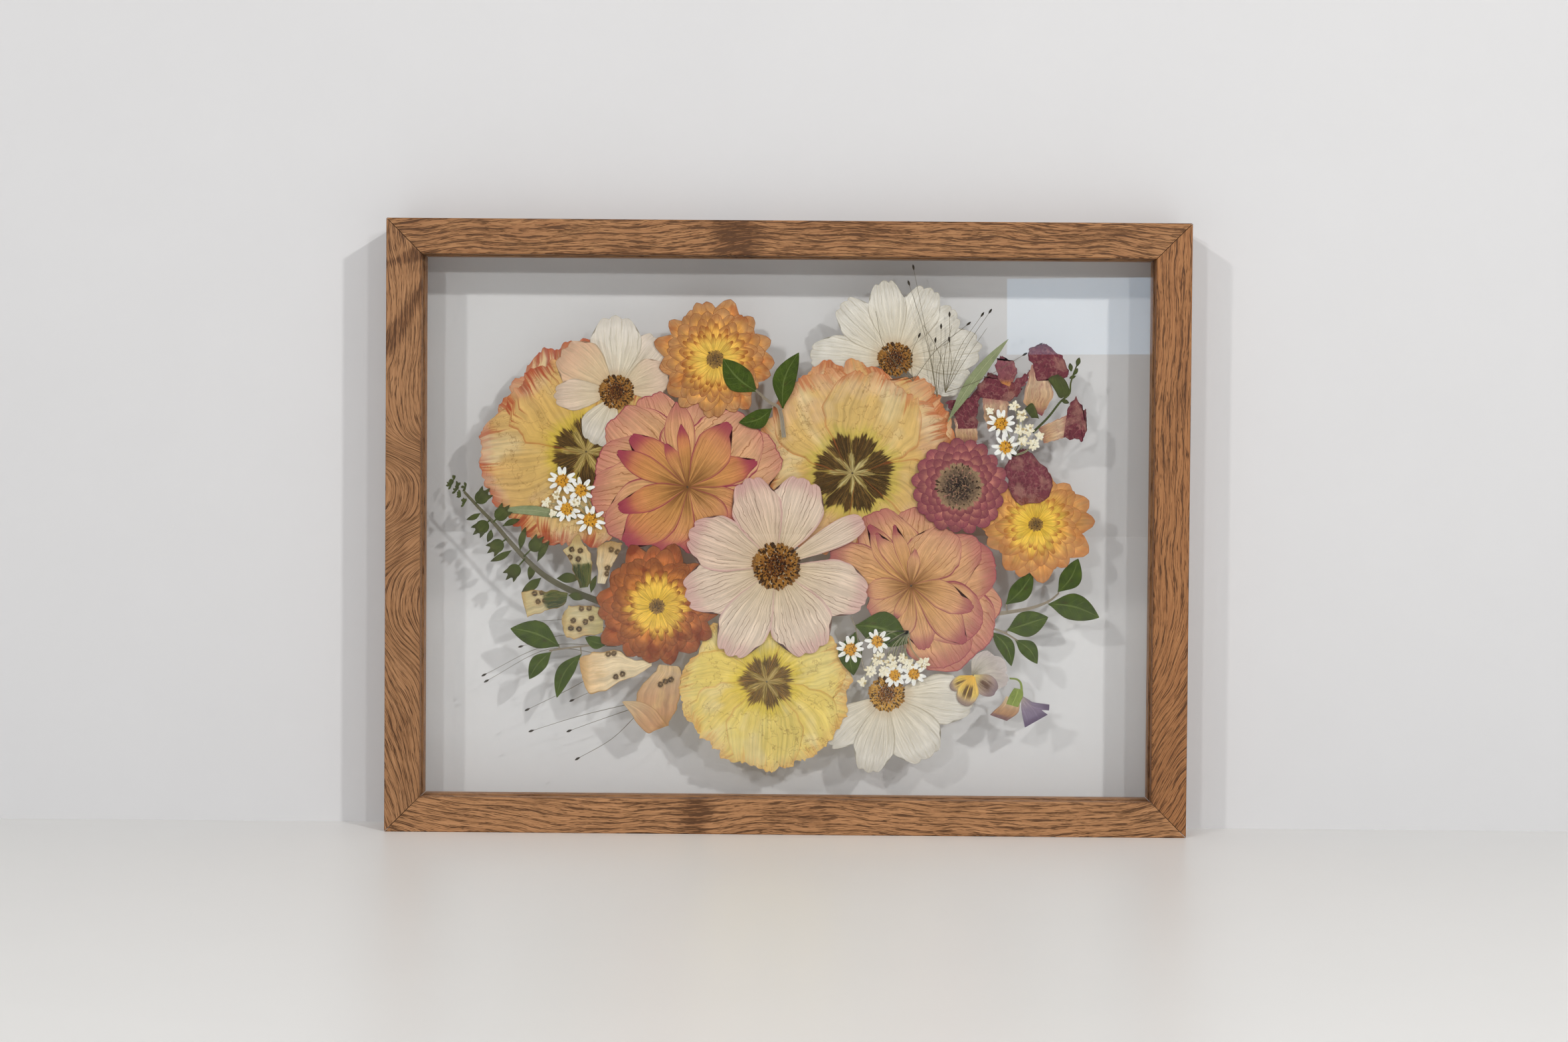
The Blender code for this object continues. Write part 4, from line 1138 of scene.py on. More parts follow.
# Each sprig: its stem, the stem's widths, and its leaves, each with base, tip, width and bend.
SPRIGS = {
    "leaf_sprig_top": ([(-17.5, 239.5), (-10.1, 233.0), (-4.5, 229.0), (-2.0, 214.0)], (1.2, 2.4), [
        ((-16.7, 238.6), (-35.2, 256.0), 14.5, 2.0), ((-2.8, 229.5), (5.6, 259.8), 12.5, 3.5),
        ((-8.6, 229.6), (-26.4, 221.8), 10.0, 2.5)]),
    "leaf_sprig_left": ([(-128.5, 97.5), (-116.0, 99.4), (-99.0, 101.3), (-88.0, 101.5)], (0.9, 1.1), [
        ((-123.0, 100.0), (-149.5, 109.4), 14.5, -2.0), ((-127.4, 96.8), (-139.2, 82.0), 9.0, -1.5),
        ((-111.0, 95.8), (-124.2, 72.0), 9.0, -3.0), ((-97.0, 101.4), (-109.0, 104.8), 7.0, 1.0)]),
    "leaf_sprig_right_upper": ([(147.5, 130.8), (141.5, 126.1), (130.5, 122.2), (112.0, 119.0)],
                               (0.8, 2.2), [
        ((142.0, 124.9), (169.5, 117.9), 14.5, 2.0), ((147.0, 131.5), (157.8, 149.6), 11.5, -2.0),
        ((118.9, 124.6), (133.2, 142.0), 11.0, -1.5)]),
    "leaf_sprig_right_lower": ([(125.4, 105.0), (117.4, 109.6), (108.0, 112.4)], (0.8, 1.4), [
        ((119.8, 110.6), (141.8, 117.8), 14.0, 0.0), ((124.0, 105.4), (136.2, 92.5), 9.0, 2.0),
        ((110.9, 109.6), (122.2, 91.1), 9.0, 3.0)]),
    "leaf_centre_upper": ([(35.2, 117.2), (37.3, 112.0)], (0.6, 0.6), [
        ((37.3, 112.4), (65.9, 103.4), 19.0, 3.0)]),
    "leaf_centre_lower": ([(37.4, 112.0), (40.6, 96.0), (42.4, 88.5)], (0.6, 0.5), [
        ((37.6, 109.2), (36.6, 85.6), 13.0, -2.5)]),
}
for node, (stem, widths, leaves) in SPRIGS.items():
    stems = Sheets(node)
    stems.add(*ribbon(stem, widths), thick=0.16, lift=-0.02)
    for base, point, width, bend in leaves:
        joint = nearest(stem, base, 60)
        stems.add(*ribbon([joint, base], (0.8, 0.6), 6), thick=0.12, lift=-0.06)
    piece_of(stems.mesh(node + "_stem"), twig, "leaf_green")
    blades = Sheets(node, count=len(leaves))
    for order, (base, point, width, bend) in enumerate(leaves):
        blades.add(*leaf(base, point, width, bend, seed=order + len(node)))
    piece_of(blades.mesh(node + "_leaves"), green, "leaf_green", node)
grey_green = leaf_finish("blade_green", [(0.0, "66704c"), (1.0, "8d9470")], "a9ac88", "5a5a3a", 0.0, 0.2)
for node, base, point, width, bend in (
        ("grass_blade_right", (86.2, 223.0), (118.6, 268.0), 6.5, 2.0),
        ("grass_blade_left", (-114.7, 168.8), (-158.8, 173.0), 5.2, -2.5)):
    blade = Sheets(node)
    blade.add(*leaf(base, point, width, bend, saw=0.0, seed=3))
    piece_of(blade.mesh(node + "_blade"), grey_green, "leaf_green", node)
print(len(SPRIGS), "leafy stems and 2 blades of grass")

# %% [markdown]
# ## Foxglove
# A ridged stem with round green pods, narrow bracts and a fuzzy tip, and six loose bells. A bell
# is a sheet between two edges, from its stalk to its mouth: cream, with brown rings inside it
# that show through. A ring is drawn where the nearest of a bell's few spots is a set way off, and
# its freckles are cells of a Voronoi pattern, kept only where noise allows.

# %% Spike with pods
pod_green = petal_finish("pod_green", [(0.0, "3c4420"), (0.5, "444c24"), (1.0, "5a5c34")], vein="2a2c16",
                         veins=0.6, lines=12, rim="2a2c18", rim_share=0.7, rim_from=0.7,
                         blotch=("3a3c24", 0.6), relief=0.12, grain=0.16)
STEM = [(-174.9, 183.4), (-166.2, 174.1), (-157.9, 165.7), (-150.2, 156.7), (-140.6, 146.5),
        (-130.9, 138.1), (-118.1, 131), (-100.8, 124.3)]
PODS = [(-165.3, 180.5), (-154.7, 171.5), (-165, 164.4), (-156.9, 154.2), (-136.1, 154.8), (-147.6, 140.7)]
BRACTS = [((-165.9, 171.8), (-173.6, 168.2), 3.0), ((-154, 164.9), (-144.4, 168.6), 3.4),
          ((-160.1, 163.1), (-162.1, 156.1), 3.4), ((-148.9, 151.9), (-160.5, 145.7), 3.6),
          ((-144.4, 151.9), (-141.5, 164.6), 3.8), ((-135.1, 145.7), (-128.5, 157.4), 3.8),
          ((-138, 145.2), (-139.3, 135.9), 4.2), ((-132.9, 137.1), (-143.4, 129.2), 5.2),
          ((-124.5, 136.8), (-112.3, 136.8), 5.6), ((-105.9, 129.1), (-103, 138.7), 3.2),
          ((-118.1, 127.8), (-109.7, 125.9), 4.6)]
TUFT = [(-178.1, 186.3), (-181.6, 186.9), (-179.1, 183.7), (-173.9, 185.6), (-176.5, 181.8),
        (-174.3, 177.3), (-180.4, 189.5)]
spike = Sheets("foxglove_spike", step=0.012, count=10)
for order, (base, point, width) in enumerate(BRACTS):
    spike.add(*leaf(base, point, width, 0.4, seed=order), tone=0.3, thick=0.03)
for order, (x, z) in enumerate(PODS):
    joint = nearest(STEM, (x, z), 80)
    away = bearing(joint, (x, z))
    spike.add(*ribbon([joint, (x, z)], (0.9, 0.7), 8), thick=0.1, lift=-0.03)
    for turn, reach in ((-26, 7.0), (26, 7.0), (0, 7.8)):
        foot = (x - 3.0 * math.cos(math.radians(away)), z - 3.0 * math.sin(math.radians(away)))
        spike.add(*leaf(foot, (foot[0] + reach * math.cos(math.radians(away + turn)) * 1.25,
                               foot[1] + reach * math.sin(math.radians(away + turn)) * 1.25), 2.8,
                        seed=order), tone=0.2, thick=0.03)
    spike.add(*oval((x, z), away, 8.0, 7.4), tone=1.0, thick=0.05)
tuft_random = np.random.default_rng(12)
for place in TUFT:
    for _ in range(7):
        degrees = tuft_random.uniform(60, 250)
        spike.add(*petal(place, degrees, tuft_random.uniform(1.6, 3.2), 1.3, tip=0.1, rounding=0, rows=4,
                         columns=4, seed=4), tone=0.5, thick=0.02)
piece_of(spike.mesh("foxglove_spike_pods"), pod_green, "leaf_green", "foxglove_spike")
ridged = petal_finish("ridged_stem", [(0.0, "5a5640"), (0.5, "676250"), (1.0, "5c5a48")], vein="34301f",
                      veins=0.8, lines=7, rim="3a3624", rim_share=0.6, relief=0.2, grain=0.2)
main_stem = Sheets("foxglove_spike", step=0.012, count=10)
main_stem.add(*ribbon(STEM, (1.4, 3.6), 60), thick=0.2)
piece_of(main_stem.mesh("foxglove_spike_stem"), ridged, "leaf_green")
print("spike with", len(PODS), "pods and", len(BRACTS), "bracts")

# %% Bells
def bell_look(name, run, rings, calyx):
    """Cream bell with brown rings around some places, in mm, and a green calyx at its stalk."""
    def extra(finish, colour, across, along, seed, tone, place):
        x, _, z = finish.parts(place)
        uneven = (finish.noise(place, 1.1, 2.0) - 0.5) * 1.1
        near = uneven * 0.0 + 9.0
        for spot_x, spot_z in rings:
            gap = ((x - spot_x) ** 2.0 + (z - spot_z) ** 2.0).maths("SQRT")
            near = near.maths("MINIMUM", gap)
        near = near + uneven
        colour = finish.mix(near.rises(3.0, 1.6) * 0.40, colour, paint("8c7248"))
        ring = near.rises(1.75, 1.40) * near.rises(-0.1, 0.5)
        colour = finish.mix(ring * 0.92, colour, paint("44301c"))
        freckle = finish.cells(place, 1.4).rises(0.24, 0.14) * finish.noise(place, 0.3).rises(0.52, 0.6)
        colour = finish.mix(freckle * 0.45, colour, paint("7c5c3c"))
        if calyx:
            leafy = (along + (finish.noise(place, 0.5) - 0.5) * 0.18).rises(calyx + 0.05, calyx - 0.05)
            colour = finish.mix(leafy, colour, finish.ramp(across, [(0.0, "4a5428"), (1.0, "333c20")]))
        return colour
    return petal_finish(name, run, vein="94784c", veins=0.4, lines=9, rim="94703c", rim_share=0.5,
                        rim_from=0.86, clear=0.14, blotch=("c8a878", 0.5), relief=0.12, grain=0.16,
                        outline_and_shade=0.8, extra=extra)


CREAM = [(0.0, "a89a68"), (0.5, "c2b48c"), (1.0, "bea870")]
TAN = [(0.0, "c8b08c"), (0.5, "bc9470"), (1.0, "b4845c")]
FADED = [(0.0, "d9cdb0"), (0.5, "d0bc98"), (1.0, "b89868")]
HONEY = [(0.0, "d8c6a2"), (0.5, "e0cca8"), (1.0, "d8b07c")]
# Each bell: its colours, how much of it is calyx, its rings, and its rows from stalk to mouth.
BELLS = {
    "upper": (CREAM, 0.36, [(-116.4, 152.6), (-111.8, 152), (-112.8, 147.4), (-117.4, 148.4)],
        [(-107.5, 132.3, -112, 132.3), (-105.9, 138.1, -114.9, 138.1), (-105.4, 143.9, -116.2, 143.9),
        (-105.8, 149, -119, 149), (-107.7, 152.9, -121, 152.6), (-110.1, 155.4, -116.8, 155.4),
        (-112, 159.3, -114.6, 159.6)]),
    "tip": (CREAM, 0.42, [(-136.3, 128.7), (-132.4, 129.2), (-134.4, 124.2), (-130.8, 124.8)],
        [(-118.4, 129.1, -118.7, 124.3), (-124.5, 130.4, -123.2, 120.8), (-130.9, 130.3, -129, 119.8),
        (-136.1, 130.4, -135.4, 117.9), (-141.2, 130.1, -140.4, 116), (-143.8, 128.8, -141.5, 121.4)]),
    "side": (CREAM, 0.0, [(-111, 120.6), (-106.9, 120.9), (-115.4, 114), (-108.8, 113.4),
        (-105.6, 115.3), (-112.3, 109.4), (-116.7, 109.9)], [(-99.4, 120.2, -99.4, 108.2),
        (-104.2, 121.9, -104.2, 106.2), (-110.6, 122.2, -110.6, 105), (-116.2, 122, -116.2, 104.7),
        (-119.4, 121.4, -119.4, 105.2), (-121.3, 117.4, -120.9, 109.4)]),
    "middle": (FADED, 0.0, [(-97.1, 142.6), (-97.4, 139.5), (-95.1, 152.6), (-91.8, 151.3)],
        [(-98.2, 134.3, -102, 134.3), (-96.3, 140.7, -102.4, 140.7), (-93, 146.5, -103, 146.5),
        (-90.5, 151.6, -102.7, 151.6), (-89.2, 156.7, -102, 156.1)]),
    "long": (HONEY, 0.0, [(-96.4, 96), (-93.3, 96.4), (-92.2, 83.6), (-88.6, 85.2)],
        [(-72.9, 92.5, -72.9, 90.1), (-83.3, 93.3, -82.5, 83.7), (-91.4, 98, -91.4, 79.7),
        (-99.4, 97.3, -99.4, 76.1), (-107.4, 96.5, -106.6, 74.5), (-112.2, 94.5, -110.2, 82.1)]),
    "large": (TAN, 0.0, [(-76.8, 84.9), (-68, 79.7), (-65.4, 81.3), (-62.4, 82.3)],
        [(-68.9, 90.5, -58.5, 90.1), (-73.7, 83.7, -56.5, 82.9), (-79.3, 77.3, -57.3, 76.5),
        (-80.9, 70.1, -58.3, 70.1), (-76.9, 63.7, -60.5, 63.7), (-68.9, 57.6, -63.7, 57.1)]),
}
for kind, (run, calyx, rings, rows) in BELLS.items():
    node = "foxglove_bell_" + kind
    finish = bell_look("bell_" + kind, run, rings, calyx)
    bell = Sheets(node, count=2)
    bell.add(*between(rows, 34, 20, 1.0, 0.3, len(node)))
    if kind == "large":
        bell.add(*between([(-88.9, 70.1, -86.9, 70.5), (-83.3, 62.9, -78.5, 70.1),
                 (-80.9, 58.8, -71.3, 66.5), (-74.9, 53.1, -66.9, 61.2), (-71.3, 54.4, -64.1, 57.2)],
                 18, 12), seed=3.3)
    piece_of(bell.mesh(node + "_sheet"), finish, "foxglove_petal", node)
print(len(BELLS), "bells")

# %% [markdown]
# ## Snapdragons and the dark petal
# The snapdragons are wine-red lips on pale, striped throats. Their lips are crumpled, which a
# dense noise draws in colour and relief. One loose dark petal below them has the same finish.

# %% Lips and throats
def crumpled(finish, colour, across, along, seed, tone, place):
    folds = finish.noise(place, 0.55, 4.0, 0.7)
    crease = (finish.noise(place, 0.16, 3.0) - 0.5).maths("ABSOLUTE").rises(0.03, 0.0)
    colour = finish.mix(folds.rises(0.5, 0.66) * 0.55, colour, paint("3a1a1c"))
    colour = finish.mix(folds.rises(0.44, 0.34) * 0.5, colour, paint("8a5650"))
    worn = finish.noise(place, 0.11, 2.0).rises(0.54, 0.68)
    colour = finish.mix(worn * 0.55, colour, paint("9a7264"))
    return finish.mix(crease * 0.35, colour, paint("a0766c"))


lip = petal_finish("snapdragon_lip", [(0.0, "622c34"), (0.6, "6a2f3a"), (1.0, "5c242e")],
                   [(0.0, "c0803c"), (0.25, "7a4448"), (0.6, "7c4650"), (1.0, "86525a")], vein="3c181e",
                   veins=0.45, lines=14, rim="4a1c26", rim_share=0.6, rim_from=0.86, outline_and_shade=0.5,
                   relief=0.25, grain=0.12, extra=crumpled)
throat = petal_finish("snapdragon_throat", [(0.0, "7a3c44"), (0.22, "b49068"), (0.7, "c4a88a"),
                                            (1.0, "b09070")], vein="7a3a40", veins=0.75, lines=13,
                      clear=0.12, rim="94585a", rim_share=0.5, blotch=("a08068", 0.6), relief=0.2,
                      grain=0.2)
# Each flower: its parts from back to front, each with its kind, its tone and its rows.
SNAPDRAGONS = {
    "snapdragon_upper": [
        ("throat", 0.0, [(137.6, 227, 134.4, 228), (140.7, 232.7, 127.8, 233.7),
            (143.4, 238.7, 128, 238.7), (141.4, 245.7, 129.5, 245.7), (137.9, 253.3, 131.4, 253.9)]),
        ("lip", 0.0, [(140.4, 245.7, 135, 245.8), (149.9, 247.3, 133.8, 246.9),
            (152.2, 250.1, 133.1, 250.7), (149.9, 255.8, 130.9, 255.8), (147, 259.6, 129.5, 260.5),
            (142.9, 262.7, 130.9, 263.7), (138.8, 265.6, 136.3, 265.3)]),
    ],
    "snapdragon_left": [
        ("throat", 0.0, [(117.7, 218.5, 108.8, 218.5), (118.9, 227.4, 105.8, 227.4),
            (118.6, 235.6, 105, 235.9)]),
        ("lip", 0.0, [(120.8, 235.1, 104.5, 235.9), (125.2, 238.7, 102.4, 239.7),
            (125.9, 242.5, 102.5, 242.5), (121.4, 244.4, 105.6, 245.7), (113.2, 248.7, 108.2, 249.3)]),
        ("lip", 0.1, [(121.4, 236.2, 118.3, 242.5), (126.5, 241.3, 123.3, 245.7),
            (130, 246.9, 127.8, 249.5), (131.7, 251.4, 130.9, 252.1)]),
        ("lip", 1.0, [(120.2, 243.2, 116.7, 243.2), (122.5, 246.9, 114.2, 246.9),
            (123.7, 251.7, 112.3, 252), (121.8, 255.7, 112.7, 255.8), (118, 258, 114.8, 258.3)]),
    ],
    "snapdragon_right": [
        ("throat", 0.0, [(137.9, 211.9, 135, 220.4), (144.2, 213.5, 143.3, 223.9),
            (150.2, 215.3, 151.2, 228)]),
        ("lip", 0.0, [(149.6, 215.7, 150.5, 227.4), (154, 214, 153, 233.7), (159.4, 213.5, 155.9, 237),
            (160.5, 217.2, 158.4, 232.4), (162, 225.5, 160.9, 229.6)]),
    ],
    "snapdragon_dark": [
        ("throat", 0.0, [(102.8, 211.6, 90.8, 211.6), (102.6, 219.1, 90.6, 219.8),
            (102.4, 224.8, 89.5, 224.8)]),
        ("lip", 0.0, [(101.9, 220.4, 92.4, 220.4), (102.4, 226.1, 90.2, 226.1),
            (102.6, 231.1, 86.7, 231.5), (103.1, 235.6, 86.4, 234.3), (105, 238.7, 97.4, 235.6),
            (105.8, 242.5, 101.9, 240.6)]),
    ],
    "petal_burgundy": [
        ("lip", 0.25, [(129.7, 178.4, 125.9, 178.4), (140.4, 181.9, 122.4, 181.9),
            (143.6, 187.5, 119.7, 187.5), (143.1, 193.2, 118.6, 193.2), (138.8, 199.2, 117.7, 199.5),
            (133.5, 204.9, 121.4, 204.6), (128.4, 208.7, 125.4, 208.4)]),
    ],
}
# A throat's edge is smoother than a lip's, and all throats lie behind the lips.
KINDS = {"throat": (throat, 0.25), "lip": (lip, 0.5)}
for node, parts in SNAPDRAGONS.items():
    behind = 0
    for kind, (finish, ragged) in KINDS.items():
        chosen = [part for part in parts if part[0] == kind]
        if not chosen:
            continue
        sheets = Sheets(node, count=len(parts))
        sheets.depth -= SHEET_STEP * behind
        behind += len(chosen)
        for _, tone, rows in chosen:
            sheets.add(*between(rows, 44, 30, 0.8, ragged, len(rows)), tone=tone)
        replaced = [node] if kind == "lip" else []
        piece_of(sheets.mesh(f"{node}_{kind}"), finish, "snapdragon_petal", *replaced)
bud = Sheets("snapdragon_bud", step=0.02, count=8)
BUD_STEM = [(132.2, 217.6), (140.4, 225.8), (147, 234.3), (151.8, 238.7), (152.5, 244.4), (154, 249.5),
            (155.9, 254.5)]
bud.add(*ribbon(BUD_STEM, (1.3, 0.7), 40), thick=0.14)
bud.add(*between([(147.4, 236.2, 146.1, 236.8), (152.1, 238.7, 143.6, 241.3), (149.9, 245.7, 140.4, 246.3),
                  (145.5, 249.2, 142.3, 248.2)], 18, 12), tone=1.0)
for place, size, degrees in (((156.2, 255.2), 3.2, 75), ((154.8, 250.1), 2.8, 60),
                             ((152.5, 252.3), 3.0, 100), ((148.9, 234.8), 3.0, -20),
                             ((154, 247.9), 2.4, 200)):
    bud.add(*petal(place, degrees, size, size * 0.8, hub=-size * 0.5, foot=0.3, belly=0.5, tip=0.15,
                   rounding=0, rows=8, columns=6), tone=0.6)
bud.add(*between([(131.6, 225.5, 127.8, 230.5), (134.1, 225.5, 131.6, 233.7),
        (135.7, 225.1, 134.1, 229.9)], 8, 8), tone=0.8)
piece_of(bud.mesh("snapdragon_bud_stem"), pod_green, "leaf_green", "snapdragon_bud")
print(len(SNAPDRAGONS), "dark flowers and a bud")

# %% [markdown]
# ## Viola and bellflower
# The viola has one yellow petal with brown wedges, one dusky petal and faded lilac ones behind.
# Beside it hangs a small flower with a green calyx, one tan and one purple bell.

# %% Two small flowers
def wedges(finish, colour, across, along, seed, tone, place):
    comb = finish.noise(finish.join(across * 9.0, along * 0.7, seed), 1.0, 2.0)
    dark = comb.rises(0.40, 0.56) * along.rises(0.22, 0.4) * along.rises(0.86, 0.62)
    middle = (across - 0.5).maths("ABSOLUTE").rises(0.34, 0.16)
    return finish.mix(dark * middle * 0.9, colour, paint("4e3222"))


viola_front = petal_finish("viola_front", [(0.0, "dba63a"), (0.6, "d9bc5e"), (0.85, "b8a07c"),
                           (1.0, "8f7c70")], [(0.0, "d8c474"), (0.35, "a89478"), (1.0, "83707a")],
                           vein="6a4c38", veins=0.6, lines=16, rim="7a6a68", rim_share=0.6, relief=0.12,
                           extra=wedges, clear=0.05)
viola_back = petal_finish("viola_back", [(0.0, "8c8468"), (0.3, "c4bcae"), (1.0, "c6bab6")], vein="8c8484",
                          veins=0.45, lines=14, clear=0.45, relief=0.1)
bell_purple = petal_finish("bell_purple", [(0.0, "9c8f8c"), (0.5, "85788a"), (1.0, "665870")],
                           [(0.0, "c8b494"), (0.5, "b08a64"), (1.0, "946a4c")], vein="4f4258", veins=0.5,
                           lines=14, rim="54465c", rim_share=0.6, relief=0.15, grain=0.14, clear=0.08)
viola_centre = (101.5, 85.4)
back = Sheets("viola", count=6)
for order, (degrees, reach, width) in enumerate(((52, 16, 13), (22, 19, 15), (-6, 19, 12))):
    back.add(*petal(viola_centre, degrees, reach, width, foot=0.2, rounding=0.2, tip=0.8, seed=order))
piece_of(back.mesh("viola_back_petals"), viola_back, "pansy_petal")
front = Sheets("viola", count=6)
front.depth -= SHEET_STEP * 3
for order, (degrees, reach, width, tone) in enumerate(((-34, 15, 12, 1.0), (-152, 14, 8, 0.0),
                                                       (-108, 16.5, 12, 0.1))):
    front.add(*petal(viola_centre, degrees, reach, width, foot=0.2, rounding=0.15, tip=0.75,
                     seed=order + 4), tone=tone)
piece_of(front.mesh("viola_front_petals"), viola_front, "pansy_petal", "viola")
bells = Sheets("bellflower_lilac", step=0.03, count=4)
bells.add(*between([(128.5, 74.9, 127.6, 72.1), (133.1, 72.1, 127.6, 68.5), (138.6, 67.5, 128.5, 63.4),
                    (142, 65, 129.7, 57.9)], 18, 12), tone=0.0)
bells.add(*between([(129.4, 73, 128.1, 75.3), (134.9, 68.2, 132.6, 72.1), (142.7, 67.3, 142.9, 70.5)],
          12, 8), tone=0.0)
bells.add(*between([(119.4, 74.9, 126.7, 73), (116.6, 70.3, 126.7, 68.5), (113, 67.1, 125.3, 65.2),
                    (110.7, 64.6, 119.8, 61.4)], 18, 12), tone=1.0)
piece_of(bells.mesh("bellflower_lilac_bells"), bell_purple, "pansy_petal", "bellflower_lilac")
calyx = Sheets("bellflower_lilac", step=0.02, count=3)
calyx.depth -= 0.12
calyx.add(*ribbon([(121.1, 84.5), (124.9, 84.1), (127.1, 82.2), (127.7, 78.5), (127.1, 74.9)],
          (0.9, 1.4), 20))
calyx.add(*between([(123.7, 79.4, 128.3, 78.5), (121.2, 75.3, 128.5, 74.9), (119.4, 70.7, 125.8, 68.9)],
          12, 8), tone=1.0)
piece_of(calyx.mesh("bellflower_lilac_calyx"), leaf_finish(
    "calyx_green", [(0.0, "5c6a2c"), (1.0, "8a9a4c")], "a8b468", "4c4a24", 3.0, 0.3), "leaf_green")
print("viola and bellflower")

# %% [markdown]
# ## Grass
# Two tufts of hair-thin grass carry small dark seeds at the ends of their branches. They are
# curves with a round bevel, made into meshes. Each branch leaves its stem at a shallow angle.

# %% Hair-thin stems and seeds
HAIR = 0.19
straw = petal_finish("grass_straw", [(0.0, "6e6650"), (1.0, "5e5844")], vein="4c4434", veins=0.3, lines=2,
                     relief=0.02)
seed_dark = petal_finish("grass_seed", [(0.0, "3c342a"), (1.0, "2a241e")], vein="18140f", veins=0.4,
                         lines=3, relief=0.05)
# Each tuft: how deep it lies, and its hairs, each from root to tip.
TUFTS = {
    "grass_right": (-7.55, [
        [(80.4, 236.2), (76, 262), (67, 306.1)], [(80.4, 236.2), (74, 268), (64.6, 297.6)],
        [(84.7, 238.8), (82, 258), (72.6, 275.2)], [(84.7, 238.8), (87, 262), (86.7, 280.9)],
        [(80.4, 236.2), (82, 255), (82.2, 274.4)], [(84.7, 238.8), (84, 256), (88, 275.1)],
        [(80.4, 236.2), (78, 252), (79.2, 267)], [(84.7, 238.8), (88, 252), (86.6, 267.5)],
        [(80.4, 236.2), (80, 250), (83.6, 260.1)], [(84.7, 238.8), (92, 262), (104.4, 281)],
        [(84.7, 238.8), (95, 262), (108.6, 282.8)], [(84.7, 238.8), (95, 256), (106.9, 273.7)],
        [(67.3, 244.8), (66, 258), (70.5, 269.5)], [(84.7, 238.8), (104, 246), (127.5, 259.8)],
        [(67.3, 244.8), (52, 262), (47, 282.3)], [(67.3, 244.8), (80, 262), (97, 276)]]),
    "grass_left": (-4.1, [
        [(-92, 92), (-115, 78), (-140.3, 65.3)], [(-80, 70), (-112, 62), (-138.1, 53.7)],
        [(-84, 66), (-101, 60), (-117.5, 53.9)], [(-92, 104), (-120, 106), (-144, 99.6)],
        [(-100, 96), (-130, 98), (-162.6, 80.7)], [(-92, 108), (-114, 114), (-136.3, 113.4)],
        [(-84, 84), (-100, 78), (-116.1, 70.5)], [(-78, 66), (-94, 50), (-112.9, 38.8)],
        [(-92, 100), (-130, 100), (-163.9, 84)]]),
}
for name, (depth, branches) in TUFTS.items():
    curve = bpy.data.curves.new(name, "CURVE")
    curve.dimensions, curve.bevel_depth, curve.bevel_resolution = "3D", HAIR * MM, 1
    curve.use_fill_caps = True
    seeds = Sheets(depth=depth, step=0.0)
    for order, branch in enumerate(branches):
        path = smooth_path(branch, 14)
        spline = curve.splines.new("POLY")
        spline.points.add(len(path) - 1)
        for index, (point, (x, z)) in enumerate(zip(spline.points, path)):
            point.co = (x * MM, (depth + 0.02 * (order % 5)) * MM, z * MM, 1)
            point.radius = 1.0 - 0.5 * index / len(path)
        if order % 3 == 2 and name == "grass_right":
            # A third of these hairs have lost their seed.
            continue
        seeds.add(*petal(path[-1], bearing(path[-2], path[-1]), 1.6, 1.2, hub=-1.6, foot=0.2, belly=0.5,
                  tip=0.2, rounding=0, rows=6, columns=4), thick=0.3)
    hairs = evaluated(linked(name, curve))
    hairs.name = name + "_hairs"
    piece_of(hairs, straw, "leaf_green")
    piece_of(seeds.mesh(name + "_seeds"), seed_dark, "leaf_green")
print(len(TUFTS), "tufts of grass")

# %% [markdown]
# ## The room
# The frame stands on a pale shelf, a finger's width in front of a pale wall. Two soft lamps stand
# in front of it, left and right and above the eye. Each throws the rails' and the flowers' shadow
# on the wall to its far side, so every shape has two shadows. A second, weaker pair closer to the
# middle softens them. A small bluish lamp far in front is the window that the glass mirrors. The
# wall is one-sided: from behind it is clear, so the back can be seen. The sky is dim below, bright
# above, and looks evenly pale to the camera, which sees it only past the wall.

# %% Wall and shelf
WALL_GAP = 0.002
WALL_Y = cad_high.y + WALL_GAP
ROOM = 6
WALL_TOP = 5


def sheet_of(name, corners):
    mesh = bpy.data.meshes.new(name)
    mesh.from_pydata(corners, [], [(0, 1, 2, 3)])
    piece = linked(name, mesh)
    return piece


def plaster(name, colour, one_sided=False, gloss=0.2, roughness=0.7):
    finish = Finish(name)
    tone = finish.noise(finish.place(), 0.02, 3.0)
    finish.done(finish.mix(tone, (*[c * 0.97 for c in colour], 1), (*colour, 1)), roughness, gloss=gloss)
    if one_sided:
        behind = finish.node("NewGeometry", "Backfacing")
        finish.swapped(behind, finish.node("BsdfTransparent"))
    return finish.material


wall = sheet_of("wall", [(-ROOM, WALL_Y, 0), (ROOM, WALL_Y, 0), (ROOM, WALL_Y, WALL_TOP),
                         (-ROOM, WALL_Y, WALL_TOP)])
wall.data.materials.append(plaster("pale_wall", (0.71, 0.71, 0.72), one_sided=True))
wall.visible_shadow = False
wall.visible_diffuse = False
shelf = sheet_of("shelf", [(-ROOM, -ROOM, 0), (ROOM, -ROOM, 0), (ROOM, ROOM, 0), (-ROOM, ROOM, 0)])
shelf.data.materials.append(plaster("pale_shelf", (0.97, 0.96, 0.935), gloss=0.4, roughness=0.35))
shelf.visible_glossy = False
print("wall", round((WALL_Y - cad_high.y) / MM, 1), "mm behind the frame")

# %% Lamps
LAMP_REACH = 2.3
KEY_SIZE = (0.08, 0.08)
WINDOW_SIZE = (0.29, 0.15)
LOOK_AT = Vector((0, 0, 0.16))
SKY_GLOW = 0.39
SKY_LEAST = 0.05
SKY_SEEN = 0.72


